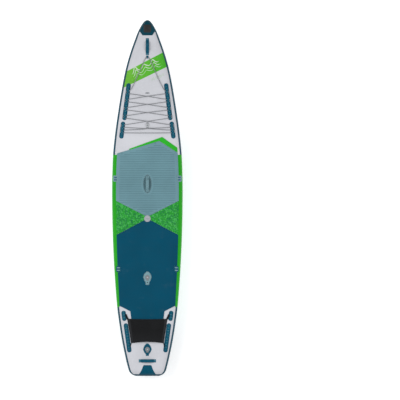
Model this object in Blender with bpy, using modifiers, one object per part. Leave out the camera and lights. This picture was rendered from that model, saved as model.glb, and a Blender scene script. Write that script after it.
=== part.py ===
"""Inflatable touring stand up paddleboard, built piece by piece.

Frame: metres, +Y towards the nose, +Z up from the hull to the deck, +X to the rider's right.
Y = 0 is mid length, X = 0 is the centre line and Z = 0 is the level of the fin tips.
"""

import math

import bmesh
import bpy
import numpy as np
from mathutils import Vector

# ---------------------------------------------------------------- driving dimensions (metres)

BOARD_LENGTH = 3.81
FIN_DEPTH = 0.190                # hull core above the fin tips
HALF_DEPTH = 0.0745              # half the thickness of the inflated core
RAIL_R = 0.0745                  # radius of the rounded rail
NOSE_ROCKER = 0.130              # rise of the nose
ROCKER_START = 0.50              # the nose rises ahead of this Y
MID_Z = FIN_DEPTH + HALF_DEPTH   # middle of the core's thickness
DECK_Z = MID_Z + HALF_DEPTH      # flat part of the core's deck

# Layers, as distances out from the core.
SKIN = (0.0004, 0.0013)
PATCH = (0.0017, 0.0029)
PAD = (0.0017, 0.0070)
SEAM = 0.0003                    # each taped edge stands back this far from its seam

# Half width of the core at each station, from the nose to the tail.
STATIONS = [
    (1.905, 0.0), (1.896, 0.024), (1.870, 0.048), (1.833, 0.071), (1.779, 0.0985), (1.690, 0.1323),
    (1.577, 0.1727), (1.440, 0.2140), (1.300, 0.2465), (1.127, 0.2780), (0.900, 0.3137),
    (0.675, 0.3445), (0.463, 0.3650), (0.200, 0.3745), (-0.100, 0.3747), (-0.400, 0.3680),
    (-0.700, 0.3552), (-0.950, 0.3390), (-1.166, 0.3210), (-1.330, 0.3000), (-1.500, 0.2735),
    (-1.680, 0.2375), (-1.800, 0.2095), (-1.860, 0.1900), (-1.889, 0.1620), (-1.905, 0.1200),
]
# Angles round the rail, from the flat deck (90) past the widest line (0) to the flat hull (-90).
RAIL_ANGLES = [90, 76, 62.6, 35.3, 17.6, 0, -17.6, -35.3, -62.6, -76, -90]

YS = np.array([s[0] for s in STATIONS])
WS = np.array([s[1] for s in STATIONS])
RING = 2 * len(RAIL_ANGLES) + 2
TOP_COLUMNS = (19, 29)             # the deck, down to 17.6 degrees on each side
BOTTOM_COLUMNS = (7, 17)           # the hull, up to -17.6 degrees on each side
ALL_COLUMNS = (0, RING)

COLOURS = {
    "pvc_grey": ((0.640, 0.640, 0.665), 0.45),
    "pvc_petrol": ((0.000, 0.072, 0.125), 0.42),
    "pvc_green": ((0.026, 0.350, 0.020), 0.42),
    "pvc_blue_grey": ((0.190, 0.355, 0.410), 0.45),
    "core_fabric": ((0.780, 0.780, 0.760), 0.80),
    "eva_blue_grey": ((0.145, 0.275, 0.305), 0.85),
    "eva_green": ((0.030, 0.330, 0.045), 0.85),
    "eva_petrol": ((0.001, 0.070, 0.122), 0.85),
    "badge_grey": ((0.620, 0.620, 0.640), 0.50),
    "webbing_petrol": ((0.001, 0.080, 0.130), 0.90),
    "webbing_blue_grey": ((0.160, 0.300, 0.335), 0.90),
    "grip_petrol": ((0.000, 0.065, 0.110), 0.80),
    "grip_blue_grey": ((0.145, 0.275, 0.305), 0.80),
    "cord_grey": ((0.270, 0.275, 0.285), 0.90),
    "nylon_grey": ((0.330, 0.345, 0.360), 0.45),
    "nylon_light": ((0.560, 0.580, 0.600), 0.40),
    "nylon_black": ((0.012, 0.012, 0.013), 0.40),
    "fin_black": ((0.010, 0.010, 0.011), 0.30),
    "mesh_black": ((0.014, 0.014, 0.015), 0.95),
    "spring_steel": ((0.600, 0.600, 0.600), 0.25),
}

# ---------------------------------------------------------------- scene and small helpers

for old in list(bpy.data.objects):
    bpy.data.objects.remove(old, do_unlink=True)

PARTS = bpy.data.collections.new("stand_up_paddleboard")
bpy.context.scene.collection.children.link(PARTS)


def material(slot):
    mat = bpy.data.materials.get(slot)
    if mat is None:
        colour, rough = COLOURS[slot]
        mat = bpy.data.materials.new(slot)
        mat.use_nodes = True
        shader = mat.node_tree.nodes["Principled BSDF"]
        shader.inputs["Base Color"].default_value = (*colour, 1)
        shader.inputs["Roughness"].default_value = rough
        shader.inputs["Metallic"].default_value = 1.0 if slot == "spring_steel" else 0.0
        mat.diffuse_color = (*colour, 1)
    return mat


def tidy(mesh, weld=0.00002, flat=0.0):
    """Weld, merge faces that lie flat, make triangles and turn every face outwards."""
    bm = bmesh.new()
    bm.from_mesh(mesh)
    bmesh.ops.remove_doubles(bm, verts=bm.verts, dist=weld)
    if flat:
        bmesh.ops.dissolve_limit(bm, angle_limit=flat, verts=bm.verts, edges=bm.edges)
    bmesh.ops.triangulate(bm, faces=bm.faces)
    bmesh.ops.recalc_face_normals(bm, faces=bm.faces)
    bm.to_mesh(mesh)
    bm.free()
    mesh.update()


def add(name, verts, faces, slot=None):
    mesh = bpy.data.meshes.new(name)
    mesh.from_pydata([tuple(v) for v in verts], [], [tuple(f) for f in faces])
    tidy(mesh)
    obj = bpy.data.objects.new(name, mesh)
    PARTS.objects.link(obj)
    if slot:
        mesh.materials.append(material(slot))
    return obj


def bake(obj):
    """Replace the object's data with its evaluated mesh, and drop the modifiers."""
    graph = bpy.context.evaluated_depsgraph_get()
    graph.update()
    mesh = bpy.data.meshes.new_from_object(obj.evaluated_get(graph), depsgraph=graph)
    mesh.name = obj.name
    obj.modifiers.clear()
    obj.data = mesh


def join(obj, tool, operation):
    """One exact Boolean, and the tool is used up."""
    mod = obj.modifiers.new("cut", "BOOLEAN")
    mod.operation, mod.solver, mod.object = operation, "EXACT", tool
    bake(obj)
    bpy.data.objects.remove(tool, do_unlink=True)
    tidy(obj.data, 0.000001, math.radians(0.02))
    return obj


def prism(points, low, high):
    n = len(points)
    verts = [(x, y, low) for x, y in points] + [(x, y, high) for x, y in points]
    faces = [tuple(range(n)), tuple(range(n, 2 * n))]
    faces += [(i, (i + 1) % n, n + (i + 1) % n, n + i) for i in range(n)]
    return add("tool", verts, faces)


def box(centre, size, slot=None, name="tool"):
    (cx, cy, cz), (sx, sy, sz) = centre, size
    verts = [(cx + i * sx / 2, cy + j * sy / 2, cz + k * sz / 2)
             for i in (-1, 1) for j in (-1, 1) for k in (-1, 1)]
    faces = [(0, 1, 3, 2), (4, 5, 7, 6), (0, 1, 5, 4), (2, 3, 7, 6), (0, 2, 6, 4), (1, 3, 7, 5)]
    return add(name, verts, faces, slot)


def turned(name, profile, centre, steps, slot=None, closed=True):
    """Revolve an (r, z) profile about a vertical axis; an open one starts and ends on the axis."""
    n = len(profile)
    edges = [(i, i + 1) for i in range(n - 1)] + ([(n - 1, 0)] if closed else [])
    mesh = bpy.data.meshes.new(name)
    mesh.from_pydata([(r, 0, z) for r, z in profile], edges, [])
    obj = bpy.data.objects.new(name, mesh)
    PARTS.objects.link(obj)
    obj.location = centre
    screw = obj.modifiers.new("turn", "SCREW")
    screw.steps = screw.render_steps = steps
    screw.use_merge_vertices = True
    screw.merge_threshold = 0.00005
    bake(obj)
    for v in obj.data.vertices:
        v.co += Vector(centre)
    obj.location = (0, 0, 0)
    tidy(obj.data)
    if slot:
        obj.data.materials.clear()
        obj.data.materials.append(material(slot))
    return obj


def disc(centre, radius, low, high, steps=24):
    x, y = centre
    ring = [(x + radius * math.cos(2 * math.pi * i / steps),
             y + radius * math.sin(2 * math.pi * i / steps)) for i in range(steps)]
    return prism(ring, low, high)


def capsule(a, b, width, steps=4):
    """Outline of a strip with round ends, from one end to the other."""
    a, b = np.array(a, float), np.array(b, float)
    along = (b - a) / np.linalg.norm(b - a)
    side = np.array([-along[1], along[0]])
    r = width / 2
    out = []
    for centre, sign in ((b - along * r, 1), (a + along * r, -1)):
        for i in range(steps + 1):
            t = -math.pi / 2 + math.pi * i / steps
            out.append(centre + sign * r * (math.cos(t) * along + math.sin(t) * side))
    return [tuple(p) for p in out]


def rounded(centre, size, r, steps=1):
    """Outline of a rectangle with rounded corners."""
    (cx, cy), (w, h) = centre, (size[0] / 2 - r, size[1] / 2 - r)
    out = []
    for k, (sx, sy) in enumerate(((1, 1), (-1, 1), (-1, -1), (1, -1))):
        for i in range(steps + 1):
            t = math.pi / 2 * (k + i / steps)
            out.append((cx + sx * w + r * math.cos(t), cy + sy * h + r * math.sin(t)))
    return out


def mirrored(points):
    return [(-x, y) for x, y in reversed(points)]


# ---------------------------------------------------------------- the board's form

def middle(y):
    """Height of the core's middle plane."""
    return MID_Z + NOSE_ROCKER * (max(0.0, y - ROCKER_START) / (BOARD_LENGTH / 2 - ROCKER_START)) ** 2.3


def half_depth(y):
    """Half the core's thickness, rounded off at the nose and tail."""
    left = max(0.0, BOARD_LENGTH / 2 - abs(y))
    return HALF_DEPTH * math.sqrt(max(0.0, 1 - max(0.0, 1 - left / RAIL_R) ** 2))


def half_width(y):
    return float(np.interp(y, YS[::-1], WS[::-1]))


def rail_radius(y):
    return min(RAIL_R, 0.62 * half_width(y))


STATION_Z = np.array([middle(y) for y in YS])
STATION_H = np.array([half_depth(y) for y in YS])


def section(i):
    """The closed ring of points at station i."""
    y, w = STATIONS[i]
    z, h, r = STATION_Z[i], STATION_H[i], rail_radius(y)
    right = [(w - r + r * math.cos(math.radians(a)), y, z + h * math.sin(math.radians(a)))
             for a in RAIL_ANGLES]
    left = [(-p[0], p[1], p[2]) for p in reversed(right)]
    return [(0, y, z + h), *right, (0, y, z - h), *left]


GRID = np.array([section(i) for i in range(len(STATIONS))])


def grid_normals():
    verts = GRID.reshape(-1, 3)
    n = RING
    faces = []
    for i in range(len(STATIONS) - 1):
        for c in range(n):
            d = (c + 1) % n
            faces += [(i * n + c, (i + 1) * n + c, (i + 1) * n + d),
                      (i * n + c, (i + 1) * n + d, i * n + d)]
    normals = np.zeros_like(verts)
    keys = [tuple(np.round(v * 20000).astype(int)) for v in verts]
    total = {}
    for f in faces:
        a, b, c = (verts[k] for k in f)
        normal = np.cross(b - a, c - a)
        size = np.linalg.norm(normal)
        if size < 1e-9:
            continue
        for k, (p, q, r) in zip(f, ((a, b, c), (b, c, a), (c, a, b))):
            u, v = q - p, r - p
            lu, lv = np.linalg.norm(u), np.linalg.norm(v)
            if lu > 1e-6 and lv > 1e-6:
                angle = math.acos(float(np.clip(u @ v / lu / lv, -1, 1)))
                total[keys[k]] = total.get(keys[k], 0) + normal / size * angle
    for k, key in enumerate(keys):
        t = total.get(key, np.array([0, 0, 1.0]))
        normals[k] = t / max(np.linalg.norm(t), 1e-9)
    return normals.reshape(GRID.shape)


NORMALS = grid_normals()


def shell(name, cells, layer, slot=None, seam=0.0):
    """A skin over some cells of the board's surface, between two distances from the core."""
    cells = set(cells)
    last = len(STATIONS) - 1
    edges, around = {}, {}
    for i, c in cells:
        d = (c + 1) % RING
        for p, q in (((i, c), (i + 1, c)), ((i + 1, c), (i + 1, d)), ((i + 1, d), (i, d)), ((i, d), (i, c))):
            edges[p, q] = 1
        for p in ((i, c), (i + 1, c), (i + 1, d), (i, d)):
            around.setdefault(p, []).append((i, c))
    rim = [(p, q) for p, q in edges if (q, p) not in edges]
    on_rim = {p for pair in rim for p in pair}
    points = sorted(around)
    index = {p: k for k, p in enumerate(points)}
    verts = []
    for distance in (layer[1], layer[0]):
        for i, c in points:
            at = GRID[i, c] + NORMALS[i, c] * distance
            if seam and (i, c) in on_rim and 0 < i < last:
                near = [GRID[j, k % RING] for (r, m) in around[i, c]
                        for j, k in ((r, m), (r + 1, m), (r, m + 1), (r + 1, m + 1))]
                step = np.mean(near, axis=0) - GRID[i, c]
                at = at + step * (1.6 * seam / max(np.linalg.norm(step), 0.002))
            verts.append(at)
    inner = len(points)
    faces = []
    for i, c in sorted(cells):
        d = (c + 1) % RING
        a, b, e, f = index[i, c], index[i + 1, c], index[i + 1, d], index[i, d]
        faces += [(a, b, e), (a, e, f), (inner + a, inner + e, inner + b), (inner + a, inner + f, inner + e)]
    whole_tail = all((last - 1, c) in cells for c in range(RING))
    for p, q in rim:
        pole = p[0] == q[0] == 0 or (p[0] == q[0] == last and whole_tail)
        if not pole:
            a, b = index[p], index[q]
            faces.append((a, b, inner + b, inner + a))
    return add(name, verts, faces, slot)


def band(rows, columns):
    """The cells between two stations and between the first and last of a run of columns."""
    return [(i, c % RING) for i in range(*rows) for c in range(columns[0], columns[1])]


def rows_over(low, high):
    """The stations that take in a stretch of the board's length."""
    inside = [i for i in range(len(YS)) if low - 0.002 <= YS[i] <= high + 0.002]
    first = max(0, max(i for i in range(len(YS)) if YS[i] >= high + 0.002))
    last = min(len(YS) - 1, min(i for i in range(len(YS)) if YS[i] <= low - 0.002))
    return min([first, *inside]), max([last, *inside])


def patch(name, outline, layer, slot, side="deck"):
    """A skin cut to an outline seen from above."""
    ys = [p[1] for p in outline]
    columns = TOP_COLUMNS if side == "deck" else BOTTOM_COLUMNS
    obj = shell(name, band(rows_over(min(ys), max(ys)), columns), layer, slot)
    low, high = (MID_Z, 0.8) if side == "deck" else (-0.2, MID_Z + 0.14)
    return join(obj, prism(outline, low, high), "INTERSECT")


def on_deck(x, y, d):
    """The point at a distance d above the deck, over the plan position x, y."""
    columns = [0, 1, 2, 3, 4, 5]
    ring = [[float(np.interp(y, YS[::-1], GRID[::-1, c, k])) for k in range(3)] for c in columns]
    normals = [[float(np.interp(y, YS[::-1], NORMALS[::-1, c, k])) for k in range(3)] for c in columns]
    xs = [p[0] for p in ring]
    z = float(np.interp(abs(x), xs, [p[2] for p in ring]))
    nx, nz = (float(np.interp(abs(x), xs, [n[k] for n in normals])) for k in (0, 2))
    normal = Vector((math.copysign(nx, x) if x else 0.0, 0, nz)).normalized()
    return Vector((x, y, z)) + normal * d


def draped(obj):
    """Lay a piece drawn flat, with z as its height above the deck, on to the deck."""
    for v in obj.data.vertices:
        v.co = on_deck(*v.co)
    obj.data.update()
    return obj


# ---------------------------------------------------------------- webbing, handles and cord

def ribbon(start, end, width, arches, span, rise, bottom, thick, first, last, steps=3):
    """Webbing along a line, sewn down between arches; each arch leaves a tunnel across it."""
    a, b = np.array(start, float), np.array(end, float)
    along = (b - a) / np.linalg.norm(b - a)
    side = np.array([-along[1], along[0]])
    floor = bottom + thick

    def bow(centre, half, height, base):
        tall = height / math.sin(math.pi * (steps // 2) / steps)
        return [(centre + half * math.cos(math.pi * i / steps),
                 base + tall * math.sin(math.pi * i / steps)) for i in range(steps, -1, -1)]

    outer = [(first, bottom)]
    outer.append((first, floor))
    for s in arches:
        outer += bow(s, span / 2 + 0.0014, rise + 0.0014, floor)
    outer += [(last, floor), (last, bottom)]
    stops = [t for s in arches for t in (s - span / 2, s, s + span / 2)]
    outer += [(s, bottom) for s in reversed(stops) if first + 0.001 < s < last - 0.001]
    loops = [outer] + [bow(s, span / 2, rise, floor) for s in arches]
    curve = bpy.data.curves.new("ribbon", "CURVE")
    curve.dimensions, curve.fill_mode = "2D", "BOTH"
    curve.extrude = width / 2
    for loop in loops:
        line = curve.splines.new("POLY")
        line.points.add(len(loop) - 1)
        for point, (s, z) in zip(line.points, loop):
            point.co = (s, z, 0, 1)
        line.use_cyclic_u = True
    obj = bpy.data.objects.new("ribbon", curve)
    PARTS.objects.link(obj)
    bake_curve = bpy.data.meshes.new_from_object(obj)
    bpy.data.objects.remove(obj, do_unlink=True)
    obj = bpy.data.objects.new("ribbon", bake_curve)
    PARTS.objects.link(obj)
    for v in obj.data.vertices:
        s, z, t = v.co
        p = a + along * s + side * t
        v.co = (p[0], p[1], z)
    tidy(obj.data)
    return draped(obj)


def chain_strip(name, start, end, slot, spots):
    """A petrol strip with round ends and a row of webbing loops along its middle."""
    a, b = np.array(start, float), np.array(end, float)
    length = float(np.linalg.norm(b - a))
    strip = patch(name, capsule(start, end, STRIP_WIDTH), (PATCH[0], 0.0037), slot)
    loops = ribbon(start, end, 0.0212, spots, LOOP_SPAN, LOOP_RISE, 0.0027, 0.0022,
                   spots[0] - 0.0195, min(spots[-1] + 0.0195, length - 0.008))
    return join(strip, loops, "UNION")


def swept(name, centres, ups, side, ring, slot=None, hole=None):
    """Sweep a closed section along a line; a hole section makes it a sleeve."""
    n, verts, faces = len(centres), [], []
    sections = [ring] + ([hole] if hole else [])
    starts = []
    for sec in sections:
        starts.append(len(verts))
        for c, up in zip(centres, ups):
            verts += [Vector(c) + Vector(side) * s + Vector(up) * t for s, t in sec]
    for k, sec in enumerate(sections):
        m, base = len(sec), starts[k]
        for i in range(n - 1):
            for j in range(m):
                q = (j + 1) % m
                faces.append((base + i * m + j, base + i * m + q, base + (i + 1) * m + q,
                              base + (i + 1) * m + j))
    m = len(ring)
    for i in (0, n - 1):
        if hole:
            for j in range(m):
                q = (j + 1) % m
                faces.append((i * m + j, i * m + q, starts[1] + i * m + q, starts[1] + i * m + j))
        else:
            faces.append(tuple(i * m + j for j in range(m)))
    return add(name, verts, faces, slot)


def handle(prefix, centre, along, half, base, strap_slot, grip_slot, rise=HALF_DEPTH / 3):
    """A webbing strap arched off the deck, with a soft grip sewn round its middle."""
    cx, cy = centre
    dx, dy = along
    tab = 0.022

    def height(s):
        reach = min(1.0, max(0.0, (abs(s) - 0.030) / (half - tab - 0.030)))
        return rise * (1 - reach * reach * (3 - 2 * reach))

    def run(points, lift):
        centres, ups = [], []
        for s in points:
            slope = (height(s + 0.001) - height(s - 0.001)) / 0.002
            x, y = cx + dx * s, cy + dy * s
            up = Vector((-dx * slope, -dy * slope, 1)).normalized()
            centres.append(on_deck(x, y, base + 0.001) + Vector((0, 0, height(s) + lift)))
            ups.append(up)
        return centres, ups

    side = (-dy, dx, 0)
    reach = half - tab - 0.014
    stops = np.linspace(-reach, reach, 9)
    spots = [-half, -half + tab, *stops, half - tab, half]
    centres, ups = run(spots, 0)
    strap = swept(prefix + "_strap", centres, ups, side,
                  [(-0.0125, -0.001), (0.0125, -0.001), (0.0125, 0.001), (-0.0125, 0.001)], strap_slot)
    centres, ups = run(stops, 0)
    ring = []
    for i in range(8):
        t = 2 * math.pi * (i + 0.5) / 8
        c, s = math.cos(t), math.sin(t)
        ring.append((0.0178 * math.copysign(abs(c) ** 0.6, c), 0.0062 * math.copysign(abs(s) ** 0.6, s)))
    hole = [(0.0131, 0.0015), (0.0060, 0.0015), (-0.0060, 0.0015), (-0.0131, 0.0015),
            (-0.0131, -0.0015), (-0.0060, -0.0015), (0.0060, -0.0015), (0.0131, -0.0015)]
    grip = swept(prefix + "_grip", centres, ups, side, ring, grip_slot, hole)
    return strap, grip


def cord(name, points, diameter, slot, resolution):
    curve = bpy.data.curves.new(name, "CURVE")
    curve.dimensions = "3D"
    curve.bevel_depth, curve.bevel_resolution, curve.use_fill_caps = diameter / 2, resolution, True
    line = curve.splines.new("POLY")
    line.points.add(len(points) - 1)
    for point, p in zip(line.points, points):
        point.co = (*p, 1)
    obj = bpy.data.objects.new(name, curve)
    PARTS.objects.link(obj)
    mesh = bpy.data.meshes.new_from_object(obj)
    bpy.data.objects.remove(obj, do_unlink=True)
    bpy.data.curves.remove(curve)
    tidy(mesh, 0.00001)
    mesh.materials.clear()
    mesh.materials.append(material(slot))
    obj = bpy.data.objects.new(name, mesh)
    PARTS.objects.link(obj)
    return obj


# ---------------------------------------------------------------- core, skins and rails

def station(y):
    return int(np.argmin(np.abs(YS - y)))


NOSE_JOIN, GREEN_FRONT, GREEN_REAR = station(1.779), station(0.463), station(-1.166)
TAIL = len(STATIONS) - 1
VALVES = {"valve_mid": (0.0, -0.851), "valve_tail": (0.0, -1.6225)}

core_faces = []
for i in range(TAIL):
    for c in range(RING):
        d = (c + 1) % RING
        a, b, e, f = i * RING + c, (i + 1) * RING + c, (i + 1) * RING + d, i * RING + d
        core_faces += [(a, b, e), (a, e, f)]
core = add("drop_stitch_core", GRID.reshape(-1, 3), core_faces, "core_fabric")
deck_skin = shell("deck_skin", band((0, TAIL), TOP_COLUMNS), SKIN, "pvc_grey")
hull_skin = shell("hull_skin", band((0, TAIL), BOTTOM_COLUMNS), SKIN, "pvc_grey")
for skin, side in ((deck_skin, 1), (hull_skin, -1)):
    for v in skin.data.vertices:
        if v.co.y < -BOARD_LENGTH / 2 + 0.0001 and side * (v.co.z - MID_Z) < SEAM:
            v.co.z = MID_Z + side * SEAM
for spot in VALVES.values():
    join(core, disc(spot, 0.0228, DECK_Z - 0.041, DECK_Z + 0.02, 14), "DIFFERENCE")
    join(deck_skin, disc(spot, 0.0228, DECK_Z - 0.01, DECK_Z + 0.02, 14), "DIFFERENCE")

RIGHT_TAPE, LEFT_TAPE = (4, 8), (16, 20)
for side, narrow, wide in (("right", RIGHT_TAPE, (3, 9)), ("left", LEFT_TAPE, (15, 21))):
    shell("rail_nose_" + side, band((NOSE_JOIN, GREEN_FRONT), narrow), PATCH, "pvc_petrol", SEAM)
    shell("rail_green_" + side, band((GREEN_FRONT, GREEN_REAR), wide), PATCH, "pvc_green", SEAM)
shell("rail_tail", band((GREEN_REAR, TAIL), RIGHT_TAPE) + band((GREEN_REAR, TAIL), LEFT_TAPE)
      + band((TAIL - 1, TAIL), ALL_COLUMNS), PATCH, "pvc_petrol", SEAM)


def inside_rail(y, width=0.0137):
    return half_width(y) - width


nose_edge = [(0.25, 1.96), (0.25, 1.7815), (0.078, 1.7815), (0.053, 1.744)]
nose_cap = shell("nose_cap", band((0, station(1.690)), ALL_COLUMNS), PATCH, "pvc_petrol")
join(nose_cap, prism(nose_edge + mirrored(nose_edge), 0, 1), "INTERSECT")

tail_edge = [(0.089, -1.8875), (0.074, -1.866), (0.058, -1.835), (0.046, -1.805), (0.042, -1.7915)]
patch("tail_patch_deck", tail_edge + mirrored(tail_edge), PATCH, "pvc_petrol")

hull_edge = [(0.070, -1.376), (0.109, -1.314), (0.183, -1.314), (0.2690, -1.424)]
hull_edge += [(inside_rail(y, 0.0146), y) for y in (-1.43, -1.50, -1.68, -1.80, -1.86)]
hull_edge += [(0.152, -1.8800), (0.150, -1.8878)]
hull_patch = patch("tail_patch_hull", mirrored(hull_edge) + hull_edge, PATCH, "pvc_petrol", "hull")

# ---------------------------------------------------------------- traction pads

PAD_SIDE = [(0.475, 0.3225), (0.300, 0.3305), (0.100, 0.3340), (-0.030, 0.3335), (-0.150, 0.3325),
            (-0.395, 0.3275), (-0.620, 0.3210), (-0.794, 0.3140), (-1.000, 0.3030), (-1.156, 0.2955)]


def pad_side(y, margin=0.0):
    ys, xs = zip(*reversed(PAD_SIDE))
    return float(np.interp(y, ys, xs)) - margin


def side_run(top, bottom, margin=0.0):
    """The pads' right edge from top to bottom."""
    stops = [top, *[y for y, _ in PAD_SIDE if bottom + 0.01 < y < top - 0.01], bottom]
    return [(pad_side(y, margin), y) for y in stops]


GAP = 0.0008
upper = [(0.127, 0.610), (0.3215, 0.486), *side_run(0.470, -0.030), (0.0, -0.202)]
upper += [(-x, y) for x, y in reversed(side_run(0.475, -0.030))]
accent = [(-0.195, 0.5262), (0.158, 0.654), (0.318, 0.540), (0.3215, 0.4885), (0.127, 0.6125),
          (-0.190, 0.5157)]
green = [(0.012, -0.2105), *side_run(-0.0335, -0.3910)]
lower = [(0.0, -0.2215), *side_run(-0.3950, -1.156), (0.183, -1.215), (0.173, -1.291)]
lower += mirrored(lower[1:])

seats = {"front": ((0.339, 0.2075), (0.050, 0.065)), "rear": ((0.308, -0.7615), (0.048, 0.060))}
mid_valve = [(0.026, -0.932), (0.026, -0.902), (0.040, -0.886), (0.048, -0.848), (0.040, -0.812),
             (0.014, -0.790)]
mid_valve += mirrored(mid_valve)
tail_valve = [(0.018, -1.693), (0.018, -1.672), (0.036, -1.654), (0.0475, -1.6225), (0.036, -1.585),
              (0.014, -1.5605)]
tail_valve += mirrored(tail_valve)


def grown(points, by):
    """An outline pushed outwards from its own centre."""
    cx, cy = np.mean(points, axis=0)
    out = []
    for x, y in points:
        far = math.hypot(x - cx, y - cy)
        out.append((cx + (x - cx) * (far + by) / far, cy + (y - cy) * (far + by) / far))
    return out


lens = [(0.043 * math.cos(t), 0.1505 + 0.100 * math.sin(t)) for t in
        [2 * math.pi * i / 16 for i in range(16)]]

pad_upper = patch("pad_upper", upper, PAD, "eva_blue_grey")
join(pad_upper, prism(lens, 0, 1), "DIFFERENCE")
patch("pad_accent", accent, PAD, "eva_green")
patch("pad_green_right", green, PAD, "eva_green")
patch("pad_green_left", mirrored(green), PAD, "eva_green")
pad_lower = patch("pad_lower", lower, PAD, "eva_petrol")
join(pad_lower, prism(grown(mid_valve, 0.0016), 0, 1), "DIFFERENCE")
badge = disc((0, -0.221), 0.035, 0, 1, 20)
cover = shell("pad_badge", band(rows_over(-0.27, -0.17), TOP_COLUMNS), (0.0074, 0.0090), "badge_grey")
join(cover, badge, "INTERSECT")
patch("handle_mat", grown(lens, -0.0012), PATCH, "eva_petrol")
patch("nose_mount", rounded((0, 1.8165), (0.078, 0.082), 0.014), (0.0033, 0.0068), "nylon_black")

# Seat loops: each has a patch set into the rail tape and pad edge, with two raised bars.
for row, (spot, size) in seats.items():
    for side, sign in (("left", -1), ("right", 1)):
        cx, cy = sign * spot[0], spot[1]
        pad = pad_upper if row == "front" else pad_lower
        for target in (pad, bpy.data.objects["rail_green_" + side]):
            outline = rounded((cx, cy), (size[0] + 0.0012, size[1] + 0.0012), 0.011)
            join(target, prism(outline, MID_Z, 1), "DIFFERENCE")
    cx, cy = -spot[0], spot[1]
    slot = "webbing_blue_grey" if row == "front" else "webbing_petrol"
    loop = patch("seat_loop_%s_left" % row, rounded((cx, cy), size, 0.010), PATCH, slot)
    for shift in (-0.0135, 0.0135):
        bar = ribbon((cx - 0.019, cy + shift), (cx + 0.019, cy + shift), 0.010, [0.019], 0.022,
                     0.0065, 0.0024, 0.0020, 0.001, 0.037)
        join(loop, bar, "UNION")
    mesh = loop.data
    add("seat_loop_%s_right" % row, [(-v.co.x, v.co.y, v.co.z) for v in mesh.vertices],
        [tuple(reversed(f.vertices)) for f in mesh.polygons], slot)

# The green rail tape narrows along the pads.
for side, sign in (("right", 1), ("left", -1)):
    run = [(0.30, 0.52)] + [(x + GAP, y) for x, y in side_run(0.480, -1.160)]
    run += [(pad_side(-1.156) + GAP, -1.20), (0.20, -1.20)]
    run.insert(0, (0.20, 0.52))
    points = [(sign * x, y) for x, y in run]
    join(bpy.data.objects["rail_green_" + side], prism(points, MID_Z + 0.02, 1), "DIFFERENCE")

# ---------------------------------------------------------------- strips, handles and cords

STRIP_WIDTH, LOOP_SPAN, LOOP_RISE, PITCH = 0.046, 0.0215, 0.0090, 0.0292


def spots_from(start, end, first_y, count, pitch=PITCH):
    """Distances along a strip of loops that start at a given Y."""
    a, b = np.array(start), np.array(end)
    cosine = (a[1] - b[1]) / np.linalg.norm(b - a)
    return [(a[1] - first_y + k * pitch) / cosine for k in range(count)]


STRIPS = {
    "strip_front_long": ((0.1980, 1.230), (0.2480, 0.834), 1.1775, 12),
    "strip_front_short": ((0.2580, 0.819), (0.2810, 0.637), 0.7880, 5),
    "strip_tail_short": ((0.2570, -1.2085), (0.2440, -1.3180), -1.2340, 3),
    "strip_tail_long": ((0.2330, -1.3430), (0.1900, -1.6550), -1.3780, 9),
}
for name, (start, end, first_y, count) in STRIPS.items():
    spots = spots_from(start, end, first_y, count)
    chain_strip(name + "_right", start, end, "webbing_petrol", spots)
    chain_strip(name + "_left", (-start[0], start[1]), (-end[0], end[1]), "webbing_petrol", spots)

handle("nose_handle", (0, 1.623), (0, 1), 0.090, PATCH[0], "webbing_petrol", "grip_petrol", 0.022)
handle("centre_handle", (0, 0.1505), (0, 1), 0.088, 0.0033, "webbing_blue_grey", "grip_blue_grey", 0.022)
handle("tail_handle", (0, -1.746), (1, 0), 0.092, PATCH[0], "webbing_petrol", "grip_petrol", 0.022)

# ---------------------------------------------------------------- bungee lacing and its lock

CORD_D = 0.0065
CORD_H = 0.0049 + LOOP_RISE / 2          # height of the cord's middle in the loops
LOW, HIGH = 0.0052, 0.0126               # heights of the two strands where they cross


def loop_point(strip, y, out, sign):
    """The middle of a webbing loop at height y on a front strip, out metres towards the rail."""
    start, end = STRIPS[strip][:2]
    a, b = np.array(start), np.array(end)
    along = (b - a) / np.linalg.norm(b - a)
    side = np.array([-along[1], along[0]])
    p = a + along * ((a[1] - y) / -along[1]) + side * out
    p = on_deck(p[0], p[1], CORD_H)
    return Vector((sign * p.x, p.y, p.z))


def hook(first, second, sign):
    """The cord goes under one loop, turns outside the webbing and comes back under another."""
    spots = []
    for y in (first, second):
        strip = "strip_front_long" if y > 0.826 else "strip_front_short"
        spots.append((loop_point(strip, y, -0.0150, sign), loop_point(strip, y, 0.0110, sign)))
    (in_a, out_a), (in_b, out_b) = spots
    centre, reach = (out_a + out_b) / 2, (out_a - out_b) / 2
    outward = (out_a - in_a).normalized() * reach.length
    bend = [centre + reach * math.cos(t) + outward * math.sin(t) for t in (math.pi / 3, math.pi * 2 / 3)]
    return [in_a, out_a, *bend, out_b, in_b]


def crossing(y, height):
    return on_deck(0, y, height)


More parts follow.
